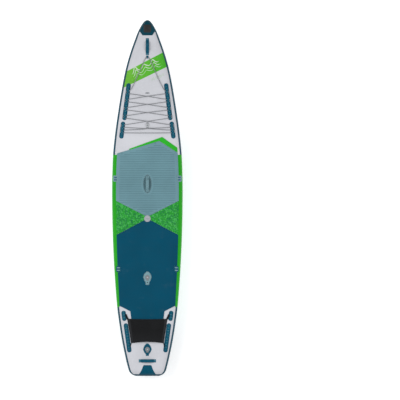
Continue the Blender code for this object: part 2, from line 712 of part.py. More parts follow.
first_pass = [
    hook(0.7296, 0.7004, -1), hook(0.7004, 0.7296, 1), [crossing(0.7432, LOW)],
    hook(0.7588, 0.7880, -1), [crossing(0.8216, LOW)], hook(0.8563, 0.8855, 1), [crossing(0.9147, LOW)],
    hook(0.9439, 0.9731, -1), [crossing(1.0023, LOW)], hook(1.0315, 1.0607, 1), [crossing(1.0899, LOW)],
    hook(1.1191, 1.1483, -1),
]
second_pass = [
    hook(1.1483, 1.1191, 1), [crossing(1.0899, HIGH)], hook(1.0607, 1.0315, -1),
    [crossing(1.0023, HIGH)], hook(0.9731, 0.9439, 1), [crossing(0.9147, HIGH)],
    hook(0.8855, 0.8563, -1), [crossing(0.8216, HIGH)], hook(0.7880, 0.7588, 1),
]
LOCK = (0.0, 0.7800)
HOLE_X, HOLE_H = 0.0052, 0.0095
NOSE_LOOP_Y = 1.5120
route = [on_deck(-HOLE_X, LOCK[1] + 0.0295, HOLE_H), on_deck(-HOLE_X, LOCK[1] - 0.0210, HOLE_H + 0.0006),
         on_deck(-HOLE_X - 0.0012, LOCK[1] - 0.0300, 0.0122), on_deck(-HOLE_X - 0.0060, LOCK[1] - 0.0375, 0.0132),
         on_deck(-0.0260, LOCK[1] - 0.0408, 0.0126)]
for piece in first_pass:
    route += piece
route += [on_deck(-0.0200, NOSE_LOOP_Y - 0.0135, 0.0072), on_deck(-0.0095, NOSE_LOOP_Y - 0.0025, 0.0072),
          on_deck(0, NOSE_LOOP_Y, 0.0072),
          on_deck(0.0095, NOSE_LOOP_Y - 0.0025, 0.0072), on_deck(0.0200, NOSE_LOOP_Y - 0.0135, 0.0072)]
for piece in second_pass:
    route += piece
route += [on_deck(0.0260, LOCK[1] - 0.0330, 0.0110), on_deck(HOLE_X + 0.0060, LOCK[1] - 0.0305, 0.0108),
          on_deck(HOLE_X + 0.0010, LOCK[1] - 0.0265, 0.0100), on_deck(HOLE_X, LOCK[1] - 0.0200, HOLE_H),
          on_deck(HOLE_X, LOCK[1] + 0.0295, HOLE_H)]
cord("bungee_cord", route, CORD_D, "cord_grey", 1)

lock_z = on_deck(LOCK[0], LOCK[1], 0).z
lock = prism(capsule((0, LOCK[1] - 0.0190), (0, LOCK[1] + 0.0190), 0.0270, 5), lock_z + 0.0030, lock_z + 0.0190)
lock.name = lock.data.name = "cord_lock_body"
lock.data.materials.append(material("nylon_grey"))
for x in (-HOLE_X, HOLE_X):
    hole = turned("tool", [(0, 0.03), (0.0041, 0.03), (0.0041, -0.03), (0, -0.03)], (0, 0, 0), 8, closed=False)
    for v in hole.data.vertices:
        v.co = (v.co.x + x, LOCK[1] + v.co.z, lock_z + HOLE_H + v.co.y)
    tidy(hole.data)
    join(lock, hole, "DIFFERENCE")
join(lock, disc(LOCK, 0.0071, lock_z + 0.0148, lock_z + 0.03, 12), "DIFFERENCE")
turned("cord_lock_button", [(0, 0.0228), (0.0050, 0.0228), (0.0064, 0.0216), (0.0064, 0.0176), (0, 0.0176)],
       (LOCK[0], LOCK[1], lock_z), 12, "nylon_black", closed=False)

nose_loop = patch("bungee_nose_loop", rounded((0, NOSE_LOOP_Y - 0.001), (0.026, 0.032), 0.006), PATCH,
                  "webbing_petrol")
join(nose_loop, ribbon((0, NOSE_LOOP_Y - 0.017), (0, NOSE_LOOP_Y + 0.015), 0.010, [0.016], 0.0175, 0.0084,
                       0.0022, 0.0014, 0.0025, 0.0295), "UNION")
patch("deck_eyelet", capsule((-0.0215, 1.1250), (0.0215, 1.1250), 0.0140), (PATCH[0], 0.0042), "nylon_grey")

# ---------------------------------------------------------------- valves

for name, (x, y) in VALVES.items():
    outline = mid_valve if name == "valve_mid" else tail_valve
    slot = "pvc_blue_grey" if name == "valve_mid" else "pvc_petrol"
    flange = patch(name + "_patch", outline, PATCH, slot)
    join(flange, disc((x, y), 0.0228, 0, 1, 14), "DIFFERENCE")
    at = (x, y, DECK_Z)
    body = turned(name + "_body", [
        (0.0178, 0.0052), (0.0250, 0.0052), (0.0250, 0.0033), (0.0220, 0.0033), (0.0220, -0.0380),
        (0.0190, -0.0380), (0.0190, -0.0172), (0.0052, -0.0172), (0.0052, -0.0142), (0.0178, -0.0142),
    ], at, 14, "nylon_grey")
    join(body, box((x, y - 0.0280, DECK_Z + 0.0040), (0.0240, 0.0130, 0.0014)), "UNION")
    for side in (-1, 1):
        ear = box((x + side * 0.0078, y - 0.0310, DECK_Z + 0.0062), (0.0030, 0.0060, 0.0050))
        join(body, ear, "UNION")
    turned(name + "_plunger", [
        (0, -0.0020), (0.0060, -0.0020), (0.0072, -0.0032), (0.0072, -0.0058), (0.0047, -0.0058),
        (0.0047, -0.0176), (0.0160, -0.0176), (0.0160, -0.0200), (0, -0.0200),
    ], at, 8, "nylon_light", closed=False)
    coil = []
    for k in range(22):
        turn = 2 * math.pi * k / 6
        coil.append((x + 0.0062 * math.cos(turn), y + 0.0062 * math.sin(turn),
                     DECK_Z - 0.0067 - 0.0068 * k / 21))
    cord(name + "_spring", coil, 0.0010, "spring_steel", 0)
    cap = turned(name + "_cap", [
        (0, 0.0076), (0.0090, 0.0076), (0.0100, 0.0084), (0.0222, 0.0084), (0.0232, 0.0074),
        (0.0232, 0.0056), (0.0172, 0.0056), (0.0172, 0.0018), (0.0154, 0.0018), (0.0154, 0.0056), (0, 0.0056),
    ], at, 16, "nylon_grey", closed=False)
    join(cap, box((x, y - 0.0262, DECK_Z + 0.0072), (0.0080, 0.0090, 0.0014)), "UNION")
    barrel = turned("tool", [(0, 0.0056), (0.0016, 0.0056), (0.0016, -0.0056), (0, -0.0056)], (0, 0, 0), 10,
                    closed=False)
    for v in barrel.data.vertices:
        v.co = (x + v.co.z, y - 0.0310 + v.co.x, DECK_Z + 0.0072 + v.co.y)
    tidy(barrel.data)
    join(cap, barrel, "UNION")

for name, y, slot in (("hull_disc_mid", -0.8436, "pvc_petrol"), ("hull_disc_tail", -1.6250, "pvc_blue_grey")):
    layer = PATCH if name == "hull_disc_mid" else (0.0033, 0.0045)
    plate = shell(name, band(rows_over(y - 0.04, y + 0.04), BOTTOM_COLUMNS), layer, slot)
    join(plate, disc((0, y), 0.035, 0, MID_Z, 20), "INTERSECT")

# ---------------------------------------------------------------- fins and their boxes

FIN_X, BOX_FRONT, BOX_REAR = 0.143, -1.412, -1.631
HULL_Z = FIN_DEPTH - PATCH[1] - 0.0004   # just under the tail patch


def fin(name, x):
    """A raked blade of lens section with a T foot along its root."""
    stages = [
        (0.1690, -1.4330, -1.6250, 0.0042), (0.1560, -1.4380, -1.6230, 0.0041),
        (0.1150, -1.4760, -1.6310, 0.0036), (0.0700, -1.5290, -1.6520, 0.0029),
        (0.0300, -1.5930, -1.6850, 0.0021), (0.0080, -1.6480, -1.7100, 0.0014),
        (0.0000, -1.6800, -1.7160, 0.0008),
    ]
    shape = [(0.0, 0.0), (0.12, 0.72), (0.38, 1.0), (0.70, 0.66), (1.0, 0.06)]
    ring = [*shape, *[(u, -t) for u, t in reversed(shape[1:])]]
    verts = []
    for z, front, rear, half in stages:
        verts += [(x + t * half, front + (rear - front) * u, z) for u, t in ring]
    n, m = len(stages), len(ring)
    faces = [tuple(range(m)), tuple(range((n - 1) * m, n * m))]
    faces += [(i * m + j, i * m + (j + 1) % m, (i + 1) * m + (j + 1) % m, (i + 1) * m + j)
              for i in range(n - 1) for j in range(m)]
    blade = add(name, verts, faces, "fin_black")
    middle_y, length = (-1.4480 - 1.6250) / 2, 1.6250 - 1.4480
    join(blade, box((x, middle_y, 0.1725), (0.0054, length, 0.0130)), "UNION")
    return join(blade, box((x, middle_y, 0.1797), (0.0144, length, 0.0040)), "UNION")


for side, sign in (("right", 1), ("left", -1)):
    x = sign * FIN_X
    length, middle_y = BOX_FRONT - BOX_REAR, (BOX_FRONT + BOX_REAR) / 2
    base = prism(rounded((x, middle_y), (0.062, length), 0.016, 3), HULL_Z - 0.0046, HULL_Z)
    base.name = base.data.name = "fin_box_" + side
    base.data.materials.append(material("nylon_black"))
    join(base, box((x, middle_y - 0.006, HULL_Z - 0.0090), (0.0240, length - 0.024, 0.0120)), "UNION")
    # The slot is shut just ahead of the fin's foot and open at the rear, where the fin slides out.
    join(base, box((x, middle_y - 0.0477, 0.1797), (0.0152, length + 0.024, 0.0050)), "DIFFERENCE")
    join(base, box((x, middle_y - 0.0477, 0.1730), (0.0062, length + 0.024, 0.0160)), "DIFFERENCE")
    fin("fin_" + side, x)

# ---------------------------------------------------------------- stretch cargo cover

COVER_ROWS = [(-1.3010, 0.2130), (-1.3500, 0.2050), (-1.4280, 0.1925), (-1.5050, 0.1810), (-1.5550, 0.1730)]
CROWN, HEM = 0.0300, 0.0020
across = np.linspace(-1, 1, 13)
verts, faces = [], []
for layer in (0.0, 0.0020):
    for k, (y, reach) in enumerate(COVER_ROWS):
        bow = {0: -0.0110, 4: 0.0150}.get(k, 0.0)
        for u in across:
            x = u * reach
            lift = HEM + (CROWN - HEM) * (1 - u * u) * (1.0 - 0.10 * abs(k - 2))
            verts.append((x, y + bow * (1 - u * u), DECK_Z + lift + layer))
n, m = len(COVER_ROWS), len(across)
for i in range(n - 1):
    for j in range(m - 1):
        a, b = i * m + j, (i + 1) * m + j
        faces += [(a, b, b + 1), (a, b + 1, a + 1)]
        a, b = a + n * m, b + n * m
        faces += [(a, b + 1, b), (a, a + 1, b + 1)]
for i in range(n - 1):
    for j in (0, m - 1):
        a, b = i * m + j, (i + 1) * m + j
        faces.append((a, b, b + n * m, a + n * m))
for j in range(m - 1):
    for i in (0, n - 1):
        a = i * m + j
        faces.append((a, a + 1, a + 1 + n * m, a + n * m))
add("cargo_cover", verts, faces, "mesh_black")

for obj in PARTS.objects:
    obj.data.name = obj.name
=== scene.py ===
import math

import bmesh
import bpy
import numpy as np
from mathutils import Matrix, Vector
from mathutils.geometry import delaunay_2d_cdt


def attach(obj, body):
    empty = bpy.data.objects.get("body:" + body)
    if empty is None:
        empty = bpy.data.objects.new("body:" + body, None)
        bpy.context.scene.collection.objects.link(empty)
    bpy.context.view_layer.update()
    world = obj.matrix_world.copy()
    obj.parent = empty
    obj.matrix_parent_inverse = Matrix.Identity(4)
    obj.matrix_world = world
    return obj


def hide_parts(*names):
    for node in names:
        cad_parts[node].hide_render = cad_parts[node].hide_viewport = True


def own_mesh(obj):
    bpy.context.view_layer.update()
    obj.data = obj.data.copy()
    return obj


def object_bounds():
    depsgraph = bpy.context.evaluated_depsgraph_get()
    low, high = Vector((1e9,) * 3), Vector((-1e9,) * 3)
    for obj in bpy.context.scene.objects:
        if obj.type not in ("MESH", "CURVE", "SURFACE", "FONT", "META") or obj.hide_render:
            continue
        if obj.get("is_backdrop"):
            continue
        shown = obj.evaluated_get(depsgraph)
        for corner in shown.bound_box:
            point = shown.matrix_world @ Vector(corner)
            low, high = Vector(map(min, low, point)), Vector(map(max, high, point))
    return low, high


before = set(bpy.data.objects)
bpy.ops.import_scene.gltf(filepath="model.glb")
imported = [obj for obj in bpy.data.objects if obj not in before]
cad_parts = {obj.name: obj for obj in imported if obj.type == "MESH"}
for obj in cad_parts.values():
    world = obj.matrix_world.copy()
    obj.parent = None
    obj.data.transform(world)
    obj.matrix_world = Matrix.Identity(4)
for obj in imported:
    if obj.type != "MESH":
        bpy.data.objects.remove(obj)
CAD_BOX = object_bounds()
RNG = np.random.default_rng(7)

# ---------------------------------------------------------------- the board's form, as in the CAD model

HALF = 3.81 / 2
MID_Z, DEPTH, RAIL = 0.2645, 0.0745, 0.0745
ROCKER, ROCKER_START = 0.13, 0.5
DECK_Z = MID_Z + DEPTH
OUTLINE = [
    (1.905, 0.0), (1.896, 0.024), (1.87, 0.048), (1.833, 0.071), (1.779, 0.0985), (1.69, 0.1323),
    (1.577, 0.1727), (1.44, 0.214), (1.3, 0.2465), (1.127, 0.278), (0.9, 0.3137),
    (0.675, 0.3445), (0.463, 0.365), (0.2, 0.3745), (-0.1, 0.3747), (-0.4, 0.368),
    (-0.7, 0.3552), (-0.95, 0.339), (-1.166, 0.321), (-1.33, 0.3), (-1.5, 0.2735),
    (-1.68, 0.2375), (-1.8, 0.2095), (-1.86, 0.19), (-1.889, 0.162), (-1.905, 0.12),
]
PAD_SIDE = [(0.475, 0.3225), (0.3, 0.3305), (0.1, 0.334), (-0.03, 0.3335), (-0.15, 0.3325),
            (-0.395, 0.3275), (-0.62, 0.321), (-0.794, 0.314), (-1.0, 0.303), (-1.156, 0.2955)]


def catmull(points, steps, ends=None):
    """A smooth line through points, in any number of dimensions."""
    p = np.array(points, float)
    before, after = ends or (2 * p[0] - p[1], 2 * p[-1] - p[-2])
    p = np.vstack([before, p, after])
    out = []
    for i in range(1, len(p) - 2):
        a, b, c, d = p[i - 1:i + 3]
        ta, tb, tc = (max(float(np.linalg.norm(v)) ** 0.5, 1e-6) for v in (b - a, c - b, d - c))
        m1 = ((b - a) / ta - (c - a) / (ta + tb) + (c - b) / tb) * tb
        m2 = ((c - b) / tb - (d - b) / (tb + tc) + (d - c) / tc) * tb
        for k in range(steps):
            t = k / steps
            out.append((2 * t**3 - 3 * t**2 + 1) * b + (t**3 - 2 * t**2 + t) * m1
                       + (-2 * t**3 + 3 * t**2) * c + (t**3 - t**2) * m2)
    out.append(p[-2])
    return np.array(out)


_line = catmull(OUTLINE, 24, ((1.896, -0.024), (-1.905, 0.0)))
_ys = np.minimum.accumulate(np.clip(_line[:, 0], -HALF, HALF))[::-1]
_ws = _line[:, 1][::-1]
_pad = catmull(PAD_SIDE, 8)[::-1]


def width(y):
    return np.interp(y, _ys, _ws)


def pad_side(y):
    return np.interp(y, _pad[:, 0], _pad[:, 1])


def middle(y):
    return MID_Z + ROCKER * (np.maximum(0, y - ROCKER_START) / (HALF - ROCKER_START)) ** 2.3


def depth(y):
    left = np.maximum(0, HALF - np.abs(y))
    return DEPTH * np.sqrt(np.maximum(0, 1 - np.maximum(0, 1 - left / RAIL) ** 2))


def rail_radius(y):
    return np.minimum(RAIL, 0.62 * width(y))


END = HALF - 0.00002


def unit(v):
    return v / np.maximum(np.linalg.norm(v, axis=-1, keepdims=True), 1e-12)


def body(y, side, angle, d):
    """Points d metres out from the core: side 1 or -1, or 0 for the centre line; angle 90 is the deck."""
    y, side, angle, d = np.broadcast_arrays(np.asarray(y, float), side, np.radians(angle), d)

    def at(y):
        r = rail_radius(y)
        return np.stack([side * (width(y) - r + r * np.cos(angle)), y,
                         middle(y) + depth(y) * np.sin(angle)], -1)

    ahead, behind = np.clip(y + 5e-4, -HALF, HALF), np.clip(y - 5e-4, -HALF, HALF)
    hand = np.where(side < 0, -1.0, 1.0)
    r = rail_radius(y)
    round_it = np.stack([-hand * r * np.sin(angle), 0 * y, depth(y) * np.cos(angle)], -1)
    normal = unit(np.cross(at(ahead) - at(behind), round_it)) * hand[..., None]
    return at(y) + normal * d[..., None]


def lay(x, y, d, side=1):
    """Points d metres off the deck (side 1) or the hull (side -1), over the plan positions x, y."""
    x, y, d = np.broadcast_arrays(np.asarray(x, float), np.asarray(y, float), d)

    def height(x, y):
        w, r = width(y), rail_radius(y)
        u = np.clip((np.abs(x) - (w - r)) / np.maximum(r, 1e-9), 0, 0.9995)
        return middle(y) + side * depth(y) * np.sqrt(1 - u * u)

    e = 5e-4
    gx = (height(x + e, y) - height(x - e, y)) / (2 * e)
    gy = (height(x, y + e) - height(x, y - e)) / (2 * e)
    normal = unit(np.stack([-gx, -gy, np.ones_like(gx)], -1)) * side
    return np.stack([x, y, height(x, y)], -1) + normal * d[..., None]


# ---------------------------------------------------------------- materials

class Nodes:
    """A material's node tree, with short names for what the materials below need."""

    def __init__(self, name):
        self.mat = bpy.data.materials.new(name)
        self.mat.use_nodes = True
        self.tree = self.mat.node_tree
        self.shader = next(n for n in self.tree.nodes if n.type == "BSDF_PRINCIPLED")
        self.place = self.tree.nodes.new("ShaderNodeTexCoord").outputs["Object"]
        xyz = self.tree.nodes.new("ShaderNodeSeparateXYZ")
        self.link(self.place, xyz.inputs[0])
        self.x, self.y, self.z = xyz.outputs

    def link(self, a, b):
        if isinstance(a, (int, float)):
            b.default_value = a
        elif isinstance(a, (tuple, list)):
            b.default_value = (*a, 1)[:4] if len(a) == 3 and b.type == "RGBA" else a
        else:
            self.tree.links.new(a, b)

    def math(self, kind, a, b=0.0, c=None, clamp=False):
        node = self.tree.nodes.new("ShaderNodeMath")
        node.operation, node.use_clamp = kind, clamp
        self.link(a, node.inputs[0])
        self.link(b, node.inputs[1])
        if c is not None:
            self.link(c, node.inputs[2])
        return node.outputs[0]

    def sum(self, *terms):
        out = terms[0]
        for t in terms[1:]:
            out = self.math("ADD", out, t)
        return out

    def times(self, a, b):
        return self.math("MULTIPLY", a, b)

    def minus(self, a, b):
        return self.math("SUBTRACT", a, b)

    def line(self, ax, ay, c):
        """ax X + ay Y + c"""
        return self.math("MULTIPLY_ADD", self.x, ax, self.math("MULTIPLY_ADD", self.y, ay, c))

    def step(self, value, soft=0.0008):
        """0 below zero, 1 above it."""
        return self.math("MULTIPLY_ADD", value, 1 / soft, 0.5, clamp=True)

    def noise(self, scale, detail=3.0, rough=0.55, stretch=(1, 1, 1)):
        node = self.tree.nodes.new("ShaderNodeTexNoise")
        mapping = self.tree.nodes.new("ShaderNodeMapping")
        mapping.inputs["Scale"].default_value = stretch
        self.link(self.place, mapping.inputs["Vector"])
        self.link(mapping.outputs[0], node.inputs["Vector"])
        node.inputs["Scale"].default_value = scale
        node.inputs["Detail"].default_value = detail
        node.inputs["Roughness"].default_value = rough
        return node.outputs["Fac"]

    def cells(self, scale, out="Distance"):
        node = self.tree.nodes.new("ShaderNodeTexVoronoi")
        self.link(self.place, node.inputs["Vector"])
        node.inputs["Scale"].default_value = scale
        return node.outputs[out]

    def wave(self, value, pitch):
        """A sine of value, from -1 to 1."""
        return self.math("SINE", self.math("MULTIPLY", value, 2 * math.pi / pitch))

    def range(self, value, low, high, to_low=0.0, to_high=1.0):
        node = self.tree.nodes.new("ShaderNodeMapRange")
        for socket, v in zip(node.inputs[:5], (value, low, high, to_low, to_high)):
            self.link(v, socket)
        return node.outputs[0]

    def mix(self, share, a, b):
        node = self.tree.nodes.new("ShaderNodeMix")
        node.data_type = "RGBA"
        self.link(share, node.inputs["Factor"])
        self.link(a, node.inputs[6])
        self.link(b, node.inputs[7])
        return node.outputs[2]

    def finish(self, colour, rough, height=None, relief=0.0002, strength=1.0, **sockets):
        self.link(colour, self.shader.inputs["Base Color"])
        self.link(rough, self.shader.inputs["Roughness"])
        if height is not None:
            bump = self.tree.nodes.new("ShaderNodeBump")
            bump.inputs["Distance"].default_value = relief
            bump.inputs["Strength"].default_value = strength
            self.link(height, bump.inputs["Height"])
            self.link(bump.outputs[0], self.shader.inputs["Normal"])
        for name, value in sockets.items():
            self.link(value, self.shader.inputs[name.replace("_", " ")])
        return self.mat


def shade(colour, factor):
    return tuple(min(1.0, c * factor) for c in colour)


def weave(n, pitch):
    """A plain weave's height, seen from above or from the side."""
    across = n.sum(n.x, n.z)
    return n.times(n.wave(across, pitch), n.wave(n.y, pitch))


GREY, PETROL = (0.6, 0.608, 0.65), (0.0, 0.074, 0.128)
RAIL_GREEN, BLUE_GREY = (0.018, 0.35, 0.012), (0.178, 0.335, 0.39)
HULL_PETROL, TAIL_PETROL = (0.0, 0.062, 0.112), (0.0, 0.076, 0.138)


def coated(name, colour, prints=None, soiled=0.05):
    """Coated PVC: the scrim's weave shows faintly, with soft blotches, fine dust and scuffs."""
    n = Nodes(name)
    blotch = n.noise(2.6, 4, 0.6)
    dust = n.noise(55, 3, 0.6)
    base = prints(n) if prints else colour
    dark = n.mix(0.1, base, (0.05, 0.05, 0.05)) if prints else shade(colour, 0.88)
    light = n.mix(0.06, base, (1.0, 1.0, 1.0)) if prints else tuple(c * 0.98 + 0.014 for c in colour)
    tone = n.mix(n.range(blotch, 0.35, 0.65), dark, base)
    tone = n.mix(n.range(dust, 0.52, 0.8, 0.0, 1.0), tone, light)
    scuff = n.times(n.range(n.noise(9, 6, 0.7, (1, 0.25, 1)), 0.6, 0.72), soiled * 3)
    tone = n.mix(scuff, tone, (0.45, 0.46, 0.47))
    rough = n.range(n.sum(n.noise(7, 4), n.times(scuff, 0.8)), 0.3, 0.8, 0.36, 0.56)
    height = n.sum(weave(n, 0.0024), n.times(n.noise(260, 2), 1.2))
    return n.finish(tone, rough, height, 0.00012, 0.55, Specular_IOR_Level=0.08)


def deck_prints(n):
    """The slanting green band across the nose, a little yellower on the left."""
    slope = (1.555 - 1.365) / (0.155 + 0.2075)
    upper = n.line(slope, -1, 1.365 + slope * 0.2075)
    slope_low = (1.402 - 1.187) / (0.201 + 0.244)
    lower = n.line(-slope_low, 1, -(1.187 + slope_low * 0.244))
    lit_side_band = n.times(n.step(upper), n.step(lower))
    green = n.mix(n.range(n.x, -0.2, 0.2), (0.14, 0.46, 0.035), (0.06, 0.43, 0.02))
    return n.mix(lit_side_band, GREY, green)


SWELL_LENGTH, SWELL_HEIGHT, SWELL_INK = 0.105, 0.014, 0.005   # the plain waves printed on the hull
CHEVRON_X = 0.146                                             # where the chevron's point lies


def hull_prints(n):
    """Light grey ahead of a petrol chevron, and a long blue-grey field behind it."""

    def edge(level, left, right):
        a = n.line(left, 1, left * CHEVRON_X - level)
        b = n.line(right, 1, right * CHEVRON_X - level)
        return n.math("MAXIMUM", a, b)

    ahead = edge(0.753, 0.4585, -0.2236)
    behind = edge(0.696, 0.4387, -0.2136)
    along, across = n.line(-0.909, 0.417, -0.2209), n.line(0.417, 0.909, -0.6953)
    waves = 0.0
    for offset in (0.03, 0.0, -0.03):
        bow = n.times(n.wave(along, SWELL_LENGTH), SWELL_HEIGHT)
        away = n.math("ABSOLUTE", n.minus(n.minus(across, offset), bow))
        waves = n.math("MAXIMUM", waves, n.step(n.minus(SWELL_INK, away), 0.0015))
    inside = n.step(n.minus(0.19, n.math("ABSOLUTE", along)), 0.02)
    front = n.mix(n.times(waves, inside), GREY, (0.21, 0.52, 0.13))
    return n.mix(n.step(ahead), n.mix(n.step(behind), BLUE_GREY, HULL_PETROL), front)


def foam(name, colour, flecks=None, relief=0.0003):
    """EVA foam: fine closed cells, a matt sheen, and darker or lighter flecks where it is printed."""
    n = Nodes(name)
    tone = n.mix(n.range(n.noise(3.5, 4, 0.6), 0.35, 0.65), shade(colour, 0.93), shade(colour, 1.05))
    if flecks:
        cell = n.cells(105, out="Color")
        pick = n.tree.nodes.new("ShaderNodeSeparateColor")
        n.link(cell, pick.inputs[0])
        tone = n.mix(n.range(pick.outputs[0], 0.6, 0.64), tone, flecks[0])
        tone = n.mix(n.range(pick.outputs[1], 0.72, 0.76), tone, flecks[1])
    grain = n.noise(1500, 2, 0.7)
    tone = n.mix(n.range(grain, 0.55, 0.8, 0.0, 0.35), tone, shade(colour, 1.35))
    worn = n.range(n.noise(6, 5, 0.7), 0.58, 0.78, 0.0, 0.18)
    tone = n.mix(worn, tone, tuple(c * 0.8 + 0.08 for c in colour))
    rough = n.range(n.noise(14, 3), 0.3, 0.7, 0.78, 0.92)
    height = n.sum(grain, n.times(n.cells(620), 0.8))
    return n.finish(tone, rough, height, relief, 0.5, Specular_IOR_Level=0.12, Sheen_Weight=0.02,
                    Sheen_Roughness=0.5)


def woven(name, colour, pitch=0.0018, sheen=0.25):
    """Webbing or sleeve cloth: ribs one way, threads the other, and slightly faded high spots."""
    n = Nodes(name)
    ribs = n.times(n.wave(n.sum(n.x, n.times(n.z, 0.6)), pitch * 1.3),
                  n.wave(n.y, pitch))
    tone = n.mix(n.range(ribs, -0.8, 0.8), shade(colour, 0.7), shade(colour, 1.2))
    tone = n.mix(n.range(n.noise(24, 4), 0.5, 0.75, 0.0, 0.3), tone,
                 tuple(c * 0.9 + 0.05 for c in colour))
    rough = n.range(ribs, -1, 1, 0.92, 0.74)
    return n.finish(tone, rough, n.sum(ribs, n.noise(900, 2)), 0.0003, 0.7, Specular_IOR_Level=0.15,
                    Sheen_Weight=sheen * 0.2, Sheen_Roughness=0.45)


def moulded(name, colour, rough=0.45, flow=0.5):
    """Moulded plastic: a fine grain, faint flow marks and a few scuffs."""
    n = Nodes(name)
    marks = n.noise(18, 4, 0.6, (1, 0.3, 1))
    tone = n.mix(n.range(marks, 0.35, 0.7), shade(colour, 0.88), tuple(c * 0.97 + 0.012 for c in colour))
    tone = n.mix(n.range(n.noise(130, 5, 0.75), 0.64, 0.72, 0.0, 0.3), tone,
                 tuple(c * 0.7 + 0.1 for c in colour))
    gloss = n.range(marks, 0.3, 0.7, rough - 0.06, rough + 0.08)
    return n.finish(tone, gloss, n.sum(n.noise(1100, 2), n.times(n.cells(420), flow)),
                    0.00012, 0.5, Specular_IOR_Level=0.32)


def braided(name, colour):
    """A braided elastic cord: two sets of strands that cross, with a pale tracer in one."""
    n = Nodes(name)
    across, along = n.sum(n.x, n.z), n.times(n.y, 0.45)
    a, b = n.wave(n.sum(across, along), 0.0022), n.wave(n.minus(across, along), 0.0022)
    strands = n.times(a, b)
    tone = n.mix(n.range(strands, -0.6, 0.6), shade(colour, 0.6), shade(colour, 1.25))
    tone = n.mix(n.range(b, 0.8, 0.95, 0.0, 0.5), tone, (0.42, 0.43, 0.45))
    return n.finish(tone, n.range(strands, -1, 1, 0.85, 0.65), strands, 0.0005, 0.8, Specular_IOR_Level=0.2,
                    Sheen_Weight=0.05, Sheen_Roughness=0.4)


def net(name, colour):
    """Stretch mesh: a knit with rows of small holes, dull, with a soft sheen; the holes carry painted shade,
    and the sides and the rear part carry painted light.
    """
    n = Nodes(name)
    row = n.times(n.wave(n.x, 0.0042), n.wave(n.y, 0.0042))
    fine = n.times(n.wave(n.sum(n.x, n.y), 0.0026),
                  n.wave(n.minus(n.x, n.y), 0.0026))
    hole = n.range(row, 0.45, 0.8)
    tone = n.mix(n.range(fine, -0.7, 0.7), shade(colour, 0.75), shade(colour, 1.5))
    # Painted shade: the holes are coloured near-black for the shadowed space under the cover.
    tone = n.mix(hole, tone, (0.002, 0.002, 0.002))
    tone = n.mix(n.range(n.noise(7, 4), 0.45, 0.75, 0.0, 0.4), tone, shade(colour, 1.9))
    # Painted light: both sides are coloured lighter, as the raised cover's sloping sides catch the light.
    reach = n.math("MULTIPLY_ADD", n.y, 0.136, 0.186 + 1.301 * 0.136)
    lit_side_band = n.step(n.minus(n.math("ABSOLUTE", n.x), reach), 0.004)
    tone = n.mix(n.times(lit_side_band, 0.6), tone, shade(colour, 4.0))
    # Painted light: the cover is coloured lighter towards the tail, for the light on its curved top.
    tone = n.mix(n.range(n.y, -1.42, -1.56, 0.0, 0.5), tone, shade(colour, 2.4))
    height = n.minus(fine, n.times(hole, 2.0))
    return n.finish(tone, n.range(fine, -1, 1, 0.9, 0.7), height, 0.0005, 0.8, Specular_IOR_Level=0.12,
                    Sheen_Weight=0.04, Sheen_Roughness=0.5)


def steel(name):
    n = Nodes(name)
    marks = n.noise(300, 4, 0.6, (1, 1, 6))
    return n.finish(n.mix(marks, (0.48, 0.48, 0.49), (0.7, 0.7, 0.71)),
                    n.range(marks, 0.3, 0.7, 0.22, 0.38), marks, 0.00005, 0.4, Metallic=1.0)


M = {
    "deck": coated("pvc_deck", GREY, deck_prints),
    "hull": coated("pvc_hull", GREY, hull_prints),
    "petrol": coated("pvc_petrol", PETROL, soiled=0.01),
    "tape": coated("pvc_tape", (0.004, 0.058, 0.092), soiled=0.01),
    "print_pale": coated("ink_pale", (0.56, 0.68, 0.54), soiled=0.02),
    "print_faint": coated("ink_faint", (0.4, 0.56, 0.38), soiled=0.02),
    "cap_petrol": coated("pvc_cap_petrol", (0.0, 0.05, 0.078), soiled=0.01),
    "tail_petrol": coated("pvc_tail_petrol", TAIL_PETROL, soiled=0.01),
    "hull_petrol": coated("pvc_hull_petrol", HULL_PETROL, soiled=0.01),
    "green": coated("pvc_green", RAIL_GREEN, soiled=0.01),
    "blue_grey": coated("pvc_blue_grey", (0.19, 0.33, 0.37), soiled=0.02),
    "core": woven("core_fabric", (0.78, 0.78, 0.76), 0.003, 0.1),
    "eva_blue": foam("eva_blue_grey", (0.14, 0.268, 0.31)),
    # The groove foam is the pad's foam darkened as painted shade in the grooves.
    "eva_groove_painted_shade": foam("eva_groove_painted_shade", (0.096, 0.192, 0.226)),
    "eva_plain_green": foam("eva_accent_green", (0.025, 0.4, 0.022)),
    "eva_green": foam("eva_mottled_green", (0.022, 0.29, 0.03),
                      ((0.014, 0.165, 0.05), (0.06, 0.39, 0.085)), 0.0006),
    "eva_petrol": foam("eva_petrol", (0.0, 0.061, 0.112)),
    "recess": foam("eva_recess", (0.085, 0.165, 0.19)),
    "badge": moulded("badge_soft_pvc", (0.4, 0.41, 0.45), 0.5),
    "badge_mark": moulded("badge_mark", (0.22, 0.25, 0.3), 0.5),
    "web_petrol": woven("webbing_petrol", (0.002, 0.098, 0.158)),
    "web_blue": woven("webbing_blue_grey", (0.17, 0.3, 0.34)),
    "web_pale": woven("webbing_pale", (0.24, 0.4, 0.45)),
    "sleeve_petrol": woven("sleeve_petrol", (0.0, 0.078, 0.135), 0.0011, 0.35),
    "sleeve_blue": woven("sleeve_blue_grey", (0.15, 0.265, 0.3), 0.0011, 0.35),
    "thread": woven("thread_pale", (0.16, 0.36, 0.44), 0.0009, 0.1),
    "thread_dark": woven("thread_dark", (0.035, 0.085, 0.105), 0.0009, 0.1),
    "cord": braided("cord_grey", (0.27, 0.28, 0.3)),
    "nylon": moulded("nylon_grey", (0.22, 0.24, 0.26), 0.46),
    "nylon_light": moulded("nylon_light", (0.5, 0.52, 0.54), 0.44),
    "nylon_black": moulded("nylon_black", (0.01, 0.01, 0.011), 0.5),
    "fin": moulded("fin_black", (0.01, 0.01, 0.011), 0.4, 0.2),
    "net": net("stretch_mesh_black", (0.008, 0.0085, 0.0095)),
    "hem": woven("hem_black", (0.007, 0.007, 0.008), 0.0016, 0.3),
    "steel": steel("spring_steel"),
}

# ---------------------------------------------------------------- mesh helpers


